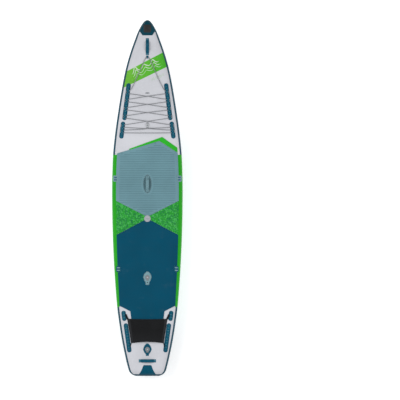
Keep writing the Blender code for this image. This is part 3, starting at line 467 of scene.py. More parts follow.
def solid(name, shell):
    """A mesh from (points, faces) or (points, faces, each face's material number)."""
    verts, faces, *kinds = shell
    mesh = bpy.data.meshes.new(name)
    mesh.from_pydata([tuple(v) for v in verts], [], [tuple(int(k) for k in f) for f in faces])
    bm = bmesh.new()
    bm.from_mesh(mesh)
    for f, k in zip(bm.faces, *kinds) if kinds else ():
        f.material_index = int(k)
    bmesh.ops.remove_doubles(bm, verts=bm.verts, dist=1e-6)
    bmesh.ops.recalc_face_normals(bm, faces=bm.faces)
    bm.to_mesh(mesh)
    bm.free()
    return mesh


def piece(name, shell, mats, stands_for=None, slot=None, ride="board", smooth=40):
    """A finished mesh that rides on a body."""
    mesh = solid(name, shell)
    for m in [mats] if isinstance(mats, str) else mats:
        mesh.materials.append(M[m])
    mesh.shade_smooth()
    mesh.set_sharp_from_angle(angle=math.radians(smooth))
    obj = bpy.data.objects.new(name, mesh)
    bpy.context.scene.collection.objects.link(obj)
    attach(obj, ride)
    if stands_for:
        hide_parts(stands_for)
    return obj


def loft_faces(n, m):
    """Faces of n rings of m points each, closed off at both ends."""
    faces = [(i * m + j, i * m + (j + 1) % m, (i + 1) * m + (j + 1) % m, (i + 1) * m + j)
             for i in range(n - 1) for j in range(m)]
    return faces + [tuple(range(m)), tuple((n - 1) * m + j for j in reversed(range(m)))]


class Build:
    """Gathers several closed shells into one piece."""

    def __init__(self):
        self.verts, self.faces, self.kinds = [], [], []

    def add(self, shell, kind=0):
        verts, faces = shell
        start = len(self.verts)
        self.verts += [tuple(v) for v in verts]
        self.faces += [tuple(start + k for k in f) for f in faces]
        self.kinds += [kind] * len(faces)
        return self

    def piece(self, name, mats, *place, **kw):
        return piece(name, (self.verts, self.faces, self.kinds), mats, *place, **kw)


def slab(outer, inner, round_it=False, capped=None):
    """A closed shell between two grids of points; round_it joins the last column to the first.

    capped is the row (0 or -1) where a round shell is closed off like the end of a sock.
    """
    n, m = outer.shape[:2]
    verts = np.vstack([outer.reshape(-1, 3), inner.reshape(-1, 3)])
    faces, base = [], n * m
    columns = range(m) if round_it else range(m - 1)
    for i in range(n - 1):
        for j in columns:
            a, b, c, d = i * m + j, (i + 1) * m + j, (i + 1) * m + (j + 1) % m, i * m + (j + 1) % m
            faces += [(a, b, c, d), (base + d, base + c, base + b, base + a)]
    for i in (0, n - 1):
        if capped is not None and i == capped % n:
            faces += [tuple(i * m + j for j in range(m)), tuple(base + i * m + j for j in reversed(range(m)))]
            continue
        for j in columns:
            a, b = i * m + j, i * m + (j + 1) % m
            faces.append((a, b, base + b, base + a))
    if not round_it:
        for j in (0, m - 1):
            for i in range(n - 1):
                a, b = i * m + j, (i + 1) * m + j
                faces.append((a, b, base + b, base + a))
    return verts, faces


def spread_ys(low, high, step=0.022):
    """Stations along the board, close together where the ends round off."""
    out = list(np.linspace(low, high, max(2, int(math.ceil((high - low) / step)) + 1)))
    for sign in (1, -1):
        for t in np.linspace(0.04, 1, 12):
            y = sign * (HALF - RAIL * (1 - math.cos(t * math.pi / 2)))
            if low < y < high:
                out.append(y)
    out = sorted(out)
    keep = [out[0]]
    for y in out[1:-1]:
        if y - keep[-1] > 0.0008 and out[-1] - y > 0.0008:
            keep.append(y)
    return np.array(keep + [out[-1]])


def dense(outline, step):
    """A closed outline with no edge longer than step."""
    out, p = [], np.array(outline, float)
    for a, b in zip(p, np.roll(p, -1, axis=0)):
        n = max(1, int(math.ceil(np.linalg.norm(b - a) / step)))
        out += [a + (b - a) * k / n for k in range(n)]
    return np.array(out)


def signed_area(p):
    x, y = p[:, 0], p[:, 1]
    return float((x * np.roll(y, -1) - np.roll(x, -1) * y).sum() / 2)


def inset(p, by):
    """An outline moved inwards, or a hole's outwards, by a small distance."""
    before, after = np.roll(p, 1, axis=0), np.roll(p, -1, axis=0)
    e1, e2 = unit(p - before), unit(after - p)
    n1, n2 = (np.stack([-e[:, 1], e[:, 0]], 1) for e in (e1, e2))
    bend = unit(n1 + n2)
    scale = np.clip((bend * n1).sum(1), 0.35, 1)[:, None]
    return p + bend * by / scale * (1 if signed_area(p) > 0 else -1)


def inside(points, ring):
    """Which points are inside a closed outline."""
    x, y = points[:, 0][:, None], points[:, 1][:, None]
    x1, y1 = ring[:, 0][None], ring[:, 1][None]
    x2, y2 = np.roll(ring[:, 0], -1)[None], np.roll(ring[:, 1], -1)[None]
    crosses = (y1 > y) != (y2 > y)
    at = x1 + (y - y1) * (x2 - x1) / np.where(crosses, y2 - y1, 1)
    return ((crosses & (x < at)).sum(1) % 2) == 1


def rounded_corners(outline, r, steps=5):
    """An outline with each corner rounded off."""
    p, out = np.array(outline, float), []
    n = len(p)
    for i in range(n):
        a, b, c = p[i - 1], p[i], p[(i + 1) % n]
        u, v = a - b, c - b
        lu, lv = np.linalg.norm(u), np.linalg.norm(v)
        cut = min(r, lu * 0.45, lv * 0.45)
        s, e = b + u / lu * cut, b + v / lv * cut
        for k in range(steps + 1):
            t = k / steps
            out.append((1 - t) ** 2 * s + 2 * t * (1 - t) * b + t * t * e)
    return np.array(out)


def groove_lines(groove):
    """A groove as three lines of (points, depths): its middle and its two rims, pointed at the ends."""
    start, end, wide, down = groove
    a, b = np.array(start), np.array(end)
    run = np.linalg.norm(b - a)
    along = (b - a) / run
    across = np.array([-along[1], along[0]]) * wide / 2
    n = max(2, int(math.ceil(run / 0.06)))
    stops = [0.004 / run, *[k / n for k in range(1, n)], 1 - 0.004 / run]
    for shift, sink in ((-1, 0.0), (0, down), (1, 0.0)):
        yield [a, *[a + (b - a) * t + across * shift for t in stops], b], [0.0, *[sink] * len(stops), 0.0]


def grown(ring, by):
    """A hole's outline moved outwards."""
    return ring + (inset(ring, by) - ring) * -1


def plate(outline, low, top, holes=(), side=1, step=0.03, lip=0.0005, grooves=(), relief=None, extra=None):
    """A piece with that outline in plan, laid on the deck or hull between two heights.

    grooves are lines ((x, y), (x, y), width, depth); relief gives a depth for the points in between.
    """
    rings = [dense(r, step) for r in (outline, *holes)]
    if signed_area(rings[0]) < 0:
        rings[0] = rings[0][::-1]
    rings[1:] = [r if signed_area(r) < 0 else r[::-1] for r in rings[1:]]
    inner = [inset(rings[0], lip)] + [grown(r, lip) for r in rings[1:]]
    points, deep, edges = [], [], []
    for r in inner:
        start = len(points)
        points += list(r)
        deep += [0.0] * len(r)
        edges += [(start + k, start + (k + 1) % len(r)) for k in range(len(r))]
    for row, depths in (line for groove in grooves for line in groove_lines(groove)):
        start = len(points)
        points += row
        deep += depths
        edges += [(start + k, start + k + 1) for k in range(len(row) - 1)]
    grid = extra
    if extra is None:
        xs, ys = (np.arange(a + step / 2, b, step) for a, b in zip(inner[0].min(0), inner[0].max(0)))
        grid = np.array([(x, y) for x in xs for y in ys]).reshape(-1, 2)
    if len(grid) and (extra is not None or not grooves):
        keep = inside(grid, inset(inner[0], step * 0.25))
        for r in inner[1:]:
            keep &= ~inside(grid, grown(r, step * 0.25))
        grid = grid[keep]
        points += list(grid)
        deep += list(relief(grid)) if relief is not None else [0.0] * len(grid)
    vs, _, fs, orig, _, _ = delaunay_2d_cdt([Vector(p) for p in points], edges, [], 0, 1e-7)
    flat = np.array([(v.x, v.y) for v in vs])
    sink = np.array([max((deep[k] for k in o), default=0.0) for o in orig])
    sink = np.array([0.0 if any(deep[k] == 0.0 for k in o) else s for s, o in zip(sink, orig)])
    where = {}
    for k, o in enumerate(orig):
        for j in o:
            where[j] = k
    tris = np.array([list(f) for f in fs])
    centres = flat[tris].mean(1)
    keep = inside(centres, inner[0])
    for r in inner[1:]:
        keep &= ~inside(centres, r)
    tris = tris[keep]
    n = len(flat)
    verts = np.vstack([lay(flat[:, 0], flat[:, 1], top - sink, side), lay(flat[:, 0], flat[:, 1], low, side)])
    faces = [tuple(t) for t in tris] + [tuple(n + k for k in t[::-1]) for t in tris]
    sunk = [bool(grooves) and bool((sink[t] > 0).any()) for t in tris]
    start = 0
    for r, q in zip(rings, inner):
        base = len(verts)
        m = len(r)
        verts = np.vstack([verts, lay(r[:, 0], r[:, 1], top - lip, side), lay(r[:, 0], r[:, 1], low, side)])
        for k in range(m):
            j = (k + 1) % m
            a, b = where[start + k], where[start + j]
            faces += [(a, b, base + j, base + k), (base + k, base + j, base + m + j, base + m + k),
                      (base + m + k, base + m + j, n + b, n + a)]
        start += m
    if grooves:
        return verts, faces, [int(k) for k in sunk] + [0] * (len(faces) - len(sunk))
    return verts, faces


def over_the_round(low, high, reach=0.4):
    """Points on the hull or deck, close together where it curves."""
    out = []
    ys = [y for y in spread_ys(max(low, -END), min(high, END), 0.014) if low < y < high]
    for y in ys:
        w, r = float(width(y)), float(rail_radius(y))
        xs = [w - r + r * math.cos(math.radians(a)) for a in range(28, 91, 5)]
        xs += list(np.arange(0, w - r, 0.025))
        for x in xs:
            if x < reach:
                out += [(x, y), (-x, y)] if x else [(0, y)]
    return np.array(out)


def capsule(a, b, wide, steps=10):
    a, b = np.array(a, float), np.array(b, float)
    along = (b - a) / np.linalg.norm(b - a)
    side = np.array([-along[1], along[0]])
    r, out = wide / 2, []
    for centre, sign in ((b - along * r, 1), (a + along * r, -1)):
        for i in range(steps + 1):
            t = -math.pi / 2 + math.pi * i / steps
            out.append(centre + sign * r * (math.cos(t) * along + math.sin(t) * side))
    return np.array(out)


def rounded(centre, size, r, steps=6):
    (cx, cy), (w, h) = centre, (size[0] / 2 - r, size[1] / 2 - r)
    out = []
    for k, (sx, sy) in enumerate(((1, 1), (-1, 1), (-1, -1), (1, -1))):
        for i in range(steps + 1):
            t = math.pi / 2 * (k + i / steps)
            out.append((cx + sx * w + r * math.cos(t), cy + sy * h + r * math.sin(t)))
    return np.array(out)


def circle(x, y, r, n=48):
    return np.array([(x + r * math.cos(2 * math.pi * k / n), y + r * math.sin(2 * math.pi * k / n))
                     for k in range(n)])


def mirrored(points):
    return [(-x, y) for x, y in list(points)[::-1]]


def lathe(profile, centre, n=48, closed=False):
    """Turn an (r, z) profile about a vertical axis; a closed one makes a ring."""
    p = [(max(r, 1e-5), z) for r, z in profile]
    m = len(p)
    verts = [(centre[0] + r * c, centre[1] + r * s, centre[2] + z)
             for c, s in circle(0, 0, 1, n) for r, z in p]
    faces = [(k * m + j, ((k + 1) % n) * m + j, ((k + 1) % n) * m + (j + 1) % m, k * m + (j + 1) % m)
             for k in range(n) for j in range(m if closed else m - 1)]
    if not closed:
        faces.append(tuple(k * m for k in range(n)))
        faces.append(tuple(k * m + m - 1 for k in reversed(range(n))))
    return verts, faces


def brick(centre, size, edge=0.0004):
    """A small block with worn edges."""
    bm = bmesh.new()
    bmesh.ops.create_cube(bm, size=1)
    for v in bm.verts:
        v.co = Vector(c * s for c, s in zip(v.co, size))
    bmesh.ops.bevel(bm, geom=bm.edges[:], offset=min(edge, min(size) * 0.4), segments=2, affect="EDGES",
                    profile=0.6)
    verts = [Vector(centre) + v.co for v in bm.verts]
    bm.verts.index_update()
    faces = [tuple(v.index for v in f.verts) for f in bm.faces]
    bm.free()
    return verts, faces


def sweep(centres, ups, side, ring):
    """Sweep a closed section (s across, t up) along a line."""
    centres, ups, side = np.array(centres), np.array(ups), np.array(side)
    grid = np.array([[c + side * s + up * t for s, t in ring] for c, up in zip(centres, ups)])
    return grid.reshape(-1, 3), loft_faces(*grid.shape[:2])


def tube(points, radius, n=12):
    """A round tube along a line, turned as little as possible from point to point."""
    p = np.array(points, float)
    t = unit(np.gradient(p, axis=0))
    u = unit(np.cross(t[0], (0.0, 0.0, 1.0) if abs(t[0][2]) < 0.9 else (1.0, 0.0, 0.0)))
    verts = []
    for c, d in zip(p, t):
        u = unit(u - d * (u @ d))
        v = np.cross(d, u)
        verts += [c + radius * (a * u + b * v) for a, b in circle(0, 0, 1, n)]
    return verts, loft_faces(len(p), n)


# ---------------------------------------------------------------- chamber, skins and tapes

SIDES = (("right", 1), ("left", -1))
LAMINATE, PATCH = (0.0004, 0.0013), (0.0017, 0.0029)   # lower and upper faces, measured off the core
GREEN_EDGE, DECK_EDGE, TAIL_EDGE = 62.6, 40.5, 35.3    # where the tapes end on the rail, in degrees


def columns(low_angle, high_angle, count):
    """Columns from the right rail over the deck or hull to the left rail."""
    angles = np.linspace(low_angle, high_angle, count)
    return [(1, a) for a in angles] + [(0, high_angle)] + [(-1, a) for a in angles[::-1]]


def layer(ys, cols, faces=PATCH, **closing):
    """A shell over stations along the board and columns round it."""
    sides, angles = np.array(cols, float).T
    return slab(*[body(ys[:, None], sides[None], angles[None], d) for d in reversed(faces)], **closing)


ALL_ROUND = [*columns(-90, 90, 17), (0, -90)]
ALL_ALONG = spread_ys(-END, END)
around = np.array(ALL_ROUND, float).T
core = body(ALL_ALONG[:, None], *around[:, None], -0.001)
chamber = piece("chamber_fabric", (core.reshape(-1, 3), loft_faces(*core.shape[:2])), "core",
                "drop_stitch_core", "core_fabric")
deck = piece("deck_laminate", layer(ALL_ALONG, columns(17.6, 90, 9), LAMINATE), "deck",
             "deck_skin", "pvc_grey")
piece("hull_laminate", layer(ALL_ALONG, columns(-17.0, -90, 9), LAMINATE), "hull", "hull_skin", "pvc_grey")


def slanted(y, angle):
    """The join of green and petrol tape lies 72 mm further aft on the hull side than on the deck."""
    near = np.minimum(np.clip((-1.0 - y) / 0.166, 0, 1), np.clip((y + 1.5) / 0.334, 0, 1))
    return y - 0.0725 * near * np.clip((25 - angle) / 50, 0, 1)


def tape(low, high, side, top, bottom, count):
    """A rail tape from one station to another; top gives its edge's angle on the deck at each station."""
    ys = spread_ys(low, high)
    reach = np.array([top(y) for y in ys]) - bottom
    angles = bottom + reach[:, None] * np.linspace(0, 1, count)[None]
    rows = slanted(ys[:, None], angles)
    return slab(*[body(rows, side, angles, d) for d in reversed(PATCH)])


def green_top(y):
    """The green tape reaches in over the deck as far as the pad's edge."""
    w, r = width(y), rail_radius(y)
    inner = w - r + r * math.cos(math.radians(GREEN_EDGE))
    edge = max(inner, pad_side(y) + 0.0009) if y < 0.474 else inner
    return math.degrees(math.acos(min(1.0, max(0.0, (edge - (w - r)) / r))))


def petrol_top(y):
    return DECK_EDGE


NOSE_CAP_Y, GREEN_FRONT, GREEN_REAR, TAIL_END = 1.7815, 0.463, -1.166, -1.888
SEAM = 0.0003
for tag, side in SIDES:
    nose_tape = tape(GREEN_FRONT + SEAM, NOSE_CAP_Y - SEAM, side, petrol_top, -DECK_EDGE, 13)
    piece("rail_tape_nose_" + tag, nose_tape, "tape", "rail_nose_" + tag, "pvc_petrol")
    green_tape = tape(GREEN_REAR + SEAM, GREEN_FRONT - SEAM, side, green_top, -GREEN_EDGE, 17)
    piece("rail_tape_green_" + tag, green_tape, "green", "rail_green_" + tag, "pvc_green")

# The tail's tape runs down both sides and round the blunt end.
tail = Build()
for side in (1, -1):
    tail.add(tape(TAIL_END, GREEN_REAR - SEAM, side, petrol_top, -TAIL_EDGE, 14))
tail.add(layer(spread_ys(-END, TAIL_END + 0.0001), ALL_ROUND, round_it=True, capped=0))
tail.piece("rail_tape_tail", "tape", "rail_tail", "pvc_petrol")

# The nose cap wraps the whole nose, with a tongue on the deck and one on the hull.
cap = Build()
cap.add(layer(spread_ys(NOSE_CAP_Y, END), ALL_ROUND, round_it=True, capped=-1))
tongue = [(0.049, 1.744), (0.055, 1.7475), (0.075, 1.778), (0.078, 1.7817)]
tongue = mirrored(tongue) + tongue
cap.add(plate(tongue, *PATCH, step=0.008))
cap.add(plate([(x * 1.02, y) for x, y in tongue], *PATCH, side=-1, step=0.008))
cap.piece("nose_cap_wrap", "cap_petrol", "nose_cap", "pvc_petrol")

tail_flap = [(0.0895, -1.8878), (0.074, -1.866), (0.058, -1.835), (0.0455, -1.8), (0.0385, -1.7915)]
tail_flap = rounded_corners(tail_flap + mirrored(tail_flap), 0.006)
tail_wrap = plate(tail_flap, 0.0018, 0.0031, step=0.008, extra=over_the_round(-1.886, -1.795, 0.09))
piece("tail_wrap_deck", tail_wrap, "petrol", "tail_patch_deck", "pvc_petrol")


TAIL_GAP = 0.0142   # the hull patch stops this far inside the board's outline
hull_tail = [(0.068, -1.376), (0.109, -1.314), (0.183, -1.314)]
hull_tail += [(float(width(y)) - TAIL_GAP, y)
              for y in (*np.linspace(-1.424, -1.86, 30), *np.linspace(-1.865, -1.8872, 9))]
piece("tail_wrap_hull", plate(hull_tail + mirrored(hull_tail), 0.0019, 0.0032, side=-1, step=0.008,
                              extra=over_the_round(-1.886, -1.32)),
      "tail_petrol", "tail_patch_hull", "pvc_petrol")


def stroke(path, thin, thick, pen, low, top):
    """A drawn line, thin along the pen's direction and thick across it, as a thin closed shell."""
    p = np.array(path)
    t = unit(np.gradient(p, axis=0))
    across = np.stack([-t[:, 1], t[:, 0]], 1)
    half = thin + (thick - thin) * np.abs(t @ np.array([-pen[1], pen[0]]))
    half = half * np.clip(np.minimum(np.arange(len(p)), np.arange(len(p))[::-1]) / 12, 0.15, 1) ** 0.5 / 2
    a, b = p + across * half[:, None], p - across * half[:, None]
    rows = np.stack([a, p, b], 1)
    return slab(*[lay(rows[..., 0], rows[..., 1], d) for d in (top, low)])


def curls(origin, along, length, count, high, lean, loop, taper=0.0, steps=260):
    """A row of curling waves, as a plan path."""
    u = np.array(along) / np.linalg.norm(along)
    v = np.array([-u[1], u[0]])
    s = np.linspace(0, 1, steps)
    phase = 2 * math.pi * count * s
    up = high * (1 - taper * s) * (1 + 0.28 * np.sin(phase * 0.41 + 0.8)) * np.cos(phase + math.pi)
    run = length * (s - 0.5) + loop * np.sin(phase) + lean * up
    return np.array(origin) + run[:, None] * u + up[:, None] * v


# Three swells run side by side across the band, and a small one lies below it.
PEN, INK_LOW = (0.7, 0.7), LAMINATE[1]
art = Build()
for origin, high, thin, thick in (((-0.03, 1.421), 0.026, 0.0045, 0.011),
                                  ((-0.016, 1.391), 0.024, 0.0035, 0.008),
                                  ((-0.002, 1.362), 0.019, 0.0025, 0.0055)):
    art.add(stroke(curls(origin, (0.91, 0.414), 0.318, 3.1, high, 0.15, 0.006, 0.35), thin, thick,
                   PEN, INK_LOW, 0.00155))
for shift in (0.0, -0.014):
    art.add(stroke(curls((0.112, 1.303 + shift), (0.92, 0.392), 0.15, 4.0, 0.0075, 0.6, 0.0),
                   0.0018, 0.0035, PEN, INK_LOW, 0.0015), 1)
art.piece("deck_wave_print", ["print_pale", "print_faint"], slot="pvc_grey")

# ---------------------------------------------------------------- traction pads

FOAM = (0.0017, 0.007)


def side_line(top, bottom, n=26, margin=0.0):
    """The pads' right edge, or a line inside it."""
    return [(float(pad_side(y)) - margin, y) for y in np.linspace(top, bottom, n)]


def pad(name, shell, mats, node, slot, smooth=40):
    piece(name, shell, mats, node, slot, smooth=smooth)


def groove_rows(region, blocked, pitch, wide, deep, first):
    """Cross grooves clipped to a region and kept clear of some outlines."""
    out, ring = [], np.array(region)
    low, high = ring[:, 1].min(), ring[:, 1].max()
    xs = np.arange(-0.34, 0.3401, 0.002)
    for y in np.arange(first, high, pitch):
        if y <= low:
            continue
        row = np.stack([xs, np.full_like(xs, y)], 1)
        ok = inside(row, ring)
        for b in blocked:
            ok &= ~inside(row, np.array(b))
        start = None
        for k, good in enumerate(list(ok) + [False]):
            if good and start is None:
                start = k
            if not good and start is not None:
                if (k - 1 - start) * 0.002 > 0.02:
                    out.append(((xs[start], y), (xs[k - 1], y), wide, deep))
                start = None
    return out


HANDLE_Y, BADGE_Y = 0.1505, -0.221
LENS = circle(0, 0, 1) * (0.043, 0.1) + (0, HANDLE_Y)
LENS_WIDE = circle(0, 0, 1) * (0.062, 0.118) + (0, HANDLE_Y)
SEATS = {"front": ((0.339, 0.2075), (0.05, 0.065)), "rear": ((0.308, -0.7615), (0.048, 0.06))}


def notches(row, grow):
    """Openings for a pair of seat loops, a little larger than their patches."""
    (x, y), (w, h) = SEATS[row]
    return [rounded((side * x, y), (w + grow, h + grow), 0.01 + grow / 2) for side in (1, -1)]


def notched(outline, rings):
    """Cut seat-loop notches out of an outline's sides."""
    out, last_hit = [], None
    for p in dense(outline, 0.004):
        hit = next((i for i, r in enumerate(rings) if inside(p[None], r)[0]), None)
        if hit is None:
            out.append(p)
        elif hit != last_hit:
            # Walk round the notch, from the end nearest the last point.
            r = rings[hit]
            inner = r[inside(r, np.array(outline))]
            inner = inner[np.argsort(np.arctan2(*(inner - r.mean(0)).T[::-1]))]
            gaps = np.linalg.norm(np.diff(np.vstack([inner, inner[:1]]), axis=0), axis=1)
            inner = np.roll(inner, -(int(gaps.argmax()) + 1), axis=0)
            if np.linalg.norm(inner[-1] - out[-1]) < np.linalg.norm(inner[0] - out[-1]):
                inner = inner[::-1]
            out += list(inner)
        last_hit = hit
    return np.array(out)


NOTCH_GAP = 0.0012
right = side_line(0.47, -0.03)
upper = [(-0.321, 0.4785), (0.127, 0.61), (0.3215, 0.486), *right, (0.0, -0.202), *mirrored(right)]
upper = notched(upper, notches("front", NOTCH_GAP))
grooved = side_line(0.44, -0.04, 14, 0.03)
margin = [(-0.292, 0.455), (0.125, 0.58), (0.292, 0.472), *grooved, (0.0, -0.17), *mirrored(grooved)]
rim_points = np.array([(sign * (float(pad_side(y)) - k), y) for sign in (1, -1) for k in (0.008, 0.016, 0.024)
                       for y in np.arange(-0.03, 0.46, 0.018)])
grooves = groove_rows(margin, [LENS_WIDE, *notches("front", 0.03)], 0.019, 0.004, 0.0018, -0.16)
# Faces in the grooves take the darker foam, which is painted shade.
pad("pad_upper_foam", plate(upper, *FOAM, holes=[LENS], lip=0.001, grooves=grooves, extra=rim_points),
    ["eva_blue", "eva_groove_painted_shade"], "pad_upper", "eva_blue_grey", 25)

accent = [(-0.1965, 0.5257), (0.158, 0.654), (0.318, 0.54), (0.3217, 0.4885), (0.1275, 0.6125),
          (-0.1915, 0.5152)]
pad("pad_accent_foam", plate(accent, *FOAM, lip=0.001), "eva_plain_green", "pad_accent", "eva_green")


def crumple(points):
    """Small facets, as in foam that is embossed with a broken diamond pattern."""
    return RNG.uniform(0.0002, 0.002, len(points))


green = [(0.005, -0.2006), *side_line(-0.0315, -0.3935, 20), (0.005, -0.2228)]
pitch = 0.0115
lattice = np.array([((i + 0.5 * (j % 2)) * pitch, -0.4 + j * pitch * 0.8)
                    for i in range(31) for j in range(43)])
lattice = lattice + RNG.uniform(-0.22, 0.22, lattice.shape) * pitch
for tag, sign in SIDES:
    outline = [(sign * x, y) for x, y in green]
    facets = plate(outline, *FOAM, step=0.016, lip=0.001, relief=crumple, extra=lattice * (sign, 1))
    pad("pad_green_foam_" + tag, facets, "eva_green", "pad_green_" + tag, "eva_green", 6)

run = side_line(-0.395, -1.156, 40)
lower = [*run, (0.183, -1.215), (0.172, -1.3)]
lower = notched([(0.0, -0.2215), *lower, *mirrored(lower)], notches("rear", NOTCH_GAP))
VALVE_MID = [(0.02, -0.931), (0.0205, -0.904), (0.035, -0.883), (0.0465, -0.85), (0.0365, -0.816),
             (0.011, -0.789)]
VALVE_MID += mirrored(VALVE_MID)
VALVE_TAIL = [(0.0165, -1.693), (0.017, -1.674), (0.0345, -1.655), (0.047, -1.6225), (0.035, -1.587),
              (0.011, -1.559)]
VALVE_TAIL += mirrored(VALVE_TAIL)
valve_mid, valve_tail = rounded_corners(VALVE_MID, 0.007), rounded_corners(VALVE_TAIL, 0.007)
pad("pad_lower_foam", plate(lower, *FOAM, holes=[inset(valve_mid, -0.0006)], lip=0.001), "eva_petrol",
    "pad_lower", "eva_petrol")

badge = Build()
BADGE, MARK = (0.0074, 0.009), (0.009, 0.0096)
badge.add(plate(circle(0, BADGE_Y, 0.035), *BADGE, step=0.02, lip=0.0008))
badge.add(plate(circle(0, BADGE_Y, 0.029), *MARK, holes=[circle(0, BADGE_Y, 0.0262)], step=0.02,
                lip=0.0003), 1)
for k in range(3):
    reach = 0.0185 - 0.002 * abs(k - 1)
    swell = [(x, -0.23 + 0.0085 * k + 0.0026 * math.sin(x * 2 * math.pi / 0.02))
             for x in np.linspace(-reach, reach, 25)]
    outline = [(x, y + 0.0013) for x, y in swell] + [(x, y - 0.0013) for x, y in swell[::-1]]
    badge.add(plate(outline, *MARK, step=0.02, lip=0.0002), 1)
badge.piece("pad_badge_disc", ["badge", "badge_mark"], "pad_badge", "badge_grey")

piece("handle_recess_mat", plate(inset(LENS, 0.0012), *PATCH, step=0.02), "recess", "handle_mat",
      "eva_petrol")

MOUNT_Y, RIB_PITCH = 1.8165, 0.007
mount = Build()
mount.add(plate(rounded((0, MOUNT_Y), (0.078, 0.082), 0.014), 0.0033, 0.0062, step=0.015, lip=0.0012))
for k in range(-4, 5):
    rib = rounded((k * RIB_PITCH, MOUNT_Y), (0.003, 0.06), 0.0014, 3)
    mount.add(plate(rib, 0.0062, 0.0072, step=0.015, lip=0.0003))
mount.piece("nose_mount_plate", "nylon_black", "nose_mount", "nylon_black")

# ---------------------------------------------------------------- webbing

LOOP_SPAN, LOOP_RISE, PITCH, TAB = 0.0215, 0.009, 0.0292, 0.0195


def arch_line(spots, floor, first, last, span=LOOP_SPAN, rise=LOOP_RISE, steps=12):
    """(distance, height) of webbing that is sewn down between its arches."""
    out = [(first, floor)]
    for s in spots:
        out += [(s - span / 2 - 0.0025, floor), (s - span / 2 - 0.0006, floor + 0.0002)]
        for k in range(1, steps):
            t = math.pi * k / steps
            out.append((s - span / 2 * math.cos(t), floor + rise * math.sin(t) ** 0.8))
        out += [(s + span / 2 + 0.0006, floor + 0.0002), (s + span / 2 + 0.0025, floor)]
    out.append((last, floor))
    keep = [out[0]]
    for p in out[1:]:
        if p[0] > keep[-1][0] + 1e-5:
            keep.append(p)
    return keep


def directions(start, end):
    """Both ends as arrays, and the unit vectors along and across the line between them."""
    a, b = np.array(start, float), np.array(end, float)
    along = (b - a) / np.linalg.norm(b - a)
    return a, b, along, np.array([-along[1], along[0]])


def webbing(start, end, wide, line, thick):
    """Flat webbing with soft edges, along a line of (distance, height)."""
    a, b, along, across = directions(start, end)
    s, z = np.array(line).T
    ds, dz = np.gradient(s), np.gradient(z)
    scale = np.maximum(np.hypot(ds, dz), 1e-9)
    ns, nz = -dz / scale, ds / scale
    h = wide / 2
    ring = [(-h, 0.25), (-h + 0.0006, 0.0), (h - 0.0006, 0.0), (h, 0.25), (h, 0.75), (h - 0.0006, 1.0),
            (h * 0.3, 1.06), (-h * 0.3, 1.06), (-h + 0.0006, 1.0), (-h, 0.75)]
    verts = []
    for i in range(len(s)):
        for t, up in ring:
            d = s[i] + ns[i] * up * thick
            p = a + along * d + across * t
            verts.append((p[0], p[1], z[i] + nz[i] * up * thick))
    return lay(*np.array(verts).T), loft_faces(len(s), len(ring))


def tack(build, start, end, at, reach, z, kind, zig=0):
    """A bar tack: a raised row of stitches across the webbing."""
    a, b, along, across = directions(start, end)
    p, q = a + along * (at - zig) - across * reach, a + along * (at + zig) + across * reach
    build.add(plate(capsule(p, q, 0.0014, 3), z, z + 0.0005, step=0.012, lip=0.0002), kind)


STRIPS = {
    "strip_front_long": ((0.198, 1.23), (0.248, 0.834), 1.1775, 12),
    "strip_front_short": ((0.258, 0.819), (0.281, 0.637), 0.788, 5),
    "strip_tail_short": ((0.257, -1.2085), (0.244, -1.318), -1.234, 3),
    "strip_tail_long": ((0.233, -1.343), (0.19, -1.655), -1.378, 9),
}
for name, (start, end, first_y, count) in STRIPS.items():
    for tag, sign in SIDES:
        a, b = (sign * start[0], start[1]), (sign * end[0], end[1])
        length = math.dist(a, b)
        cosine = (a[1] - b[1]) / length
        spots = [(a[1] - first_y + k * PITCH) / cosine for k in range(count)]
        last = min(spots[-1] + TAB, length - 0.008)
        first = max(spots[0] - TAB, 0.006)
        strip = Build()
        strip.add(plate(capsule(a, b, 0.046, 14), 0.0017, 0.0036, step=0.02, lip=0.0006))
        strip.add(webbing(a, b, 0.0212, arch_line(spots, 0.0037, first, last), 0.0013), 1)
        gaps = [first + 0.0022, *[(s + t) / 2 for s, t in zip(spots, spots[1:])], last - 0.0022]
        for k, at in enumerate(gaps):
            end_gap = k in (0, len(gaps) - 1)
            for shift in ((0.0,) if end_gap else (-0.0017, 0.0017)):
                tack(strip, a, b, at + shift, 0.0088, 0.005, 2, zig=0.0004)
        strip.piece("%s_webbing_%s" % (name, tag), ["petrol", "web_petrol", "thread"],
                    "%s_%s" % (name, tag), "webbing_petrol")

SEAT_MATS = {"front": (["blue_grey", "web_petrol", "web_blue", "thread"], "webbing_blue_grey"),
             "rear": (["petrol", "web_pale", "web_petrol", "thread"], "webbing_petrol")}
for row, ((x, y), size) in SEATS.items():
    for tag, sign in SIDES:
        seat = Build()
        seat.add(plate(rounded((sign * x, y), size, 0.01), 0.0031, 0.0042, step=0.012, lip=0.0004))
        for shift in (-0.0135, 0.0135):
            a, b = (sign * (x - 0.019), y + shift), (sign * (x + 0.019), y + shift)
            arch = arch_line([0.019], 0.0054, 0.0055, 0.0325, 0.018, 0.0055)
            seat.add(webbing(a, b, 0.01, [(0.0005, 0.0043), (0.0375, 0.0043)], 0.001), 2)
            seat.add(webbing(a, b, 0.0092, arch, 0.0011), 1)
            for at in (0.0028, 0.0352):
                tack(seat, a, b, at, 0.0036, 0.0053, 3)
        mats, slot = SEAT_MATS[row]
        seat.piece("seat_loop_%s_webbing_%s" % (row, tag), mats, "seat_loop_%s_%s" % (row, tag), slot)

# ---------------------------------------------------------------- carry handles


HANDLE_RISE = 0.022
IN_PETROL = ("web_petrol", "sleeve_petrol", "webbing_petrol", "grip_petrol", "thread", "web_petrol")
IN_BLUE = ("web_blue", "sleeve_blue", "webbing_blue_grey", "grip_blue_grey", "thread_dark", "web_pale")


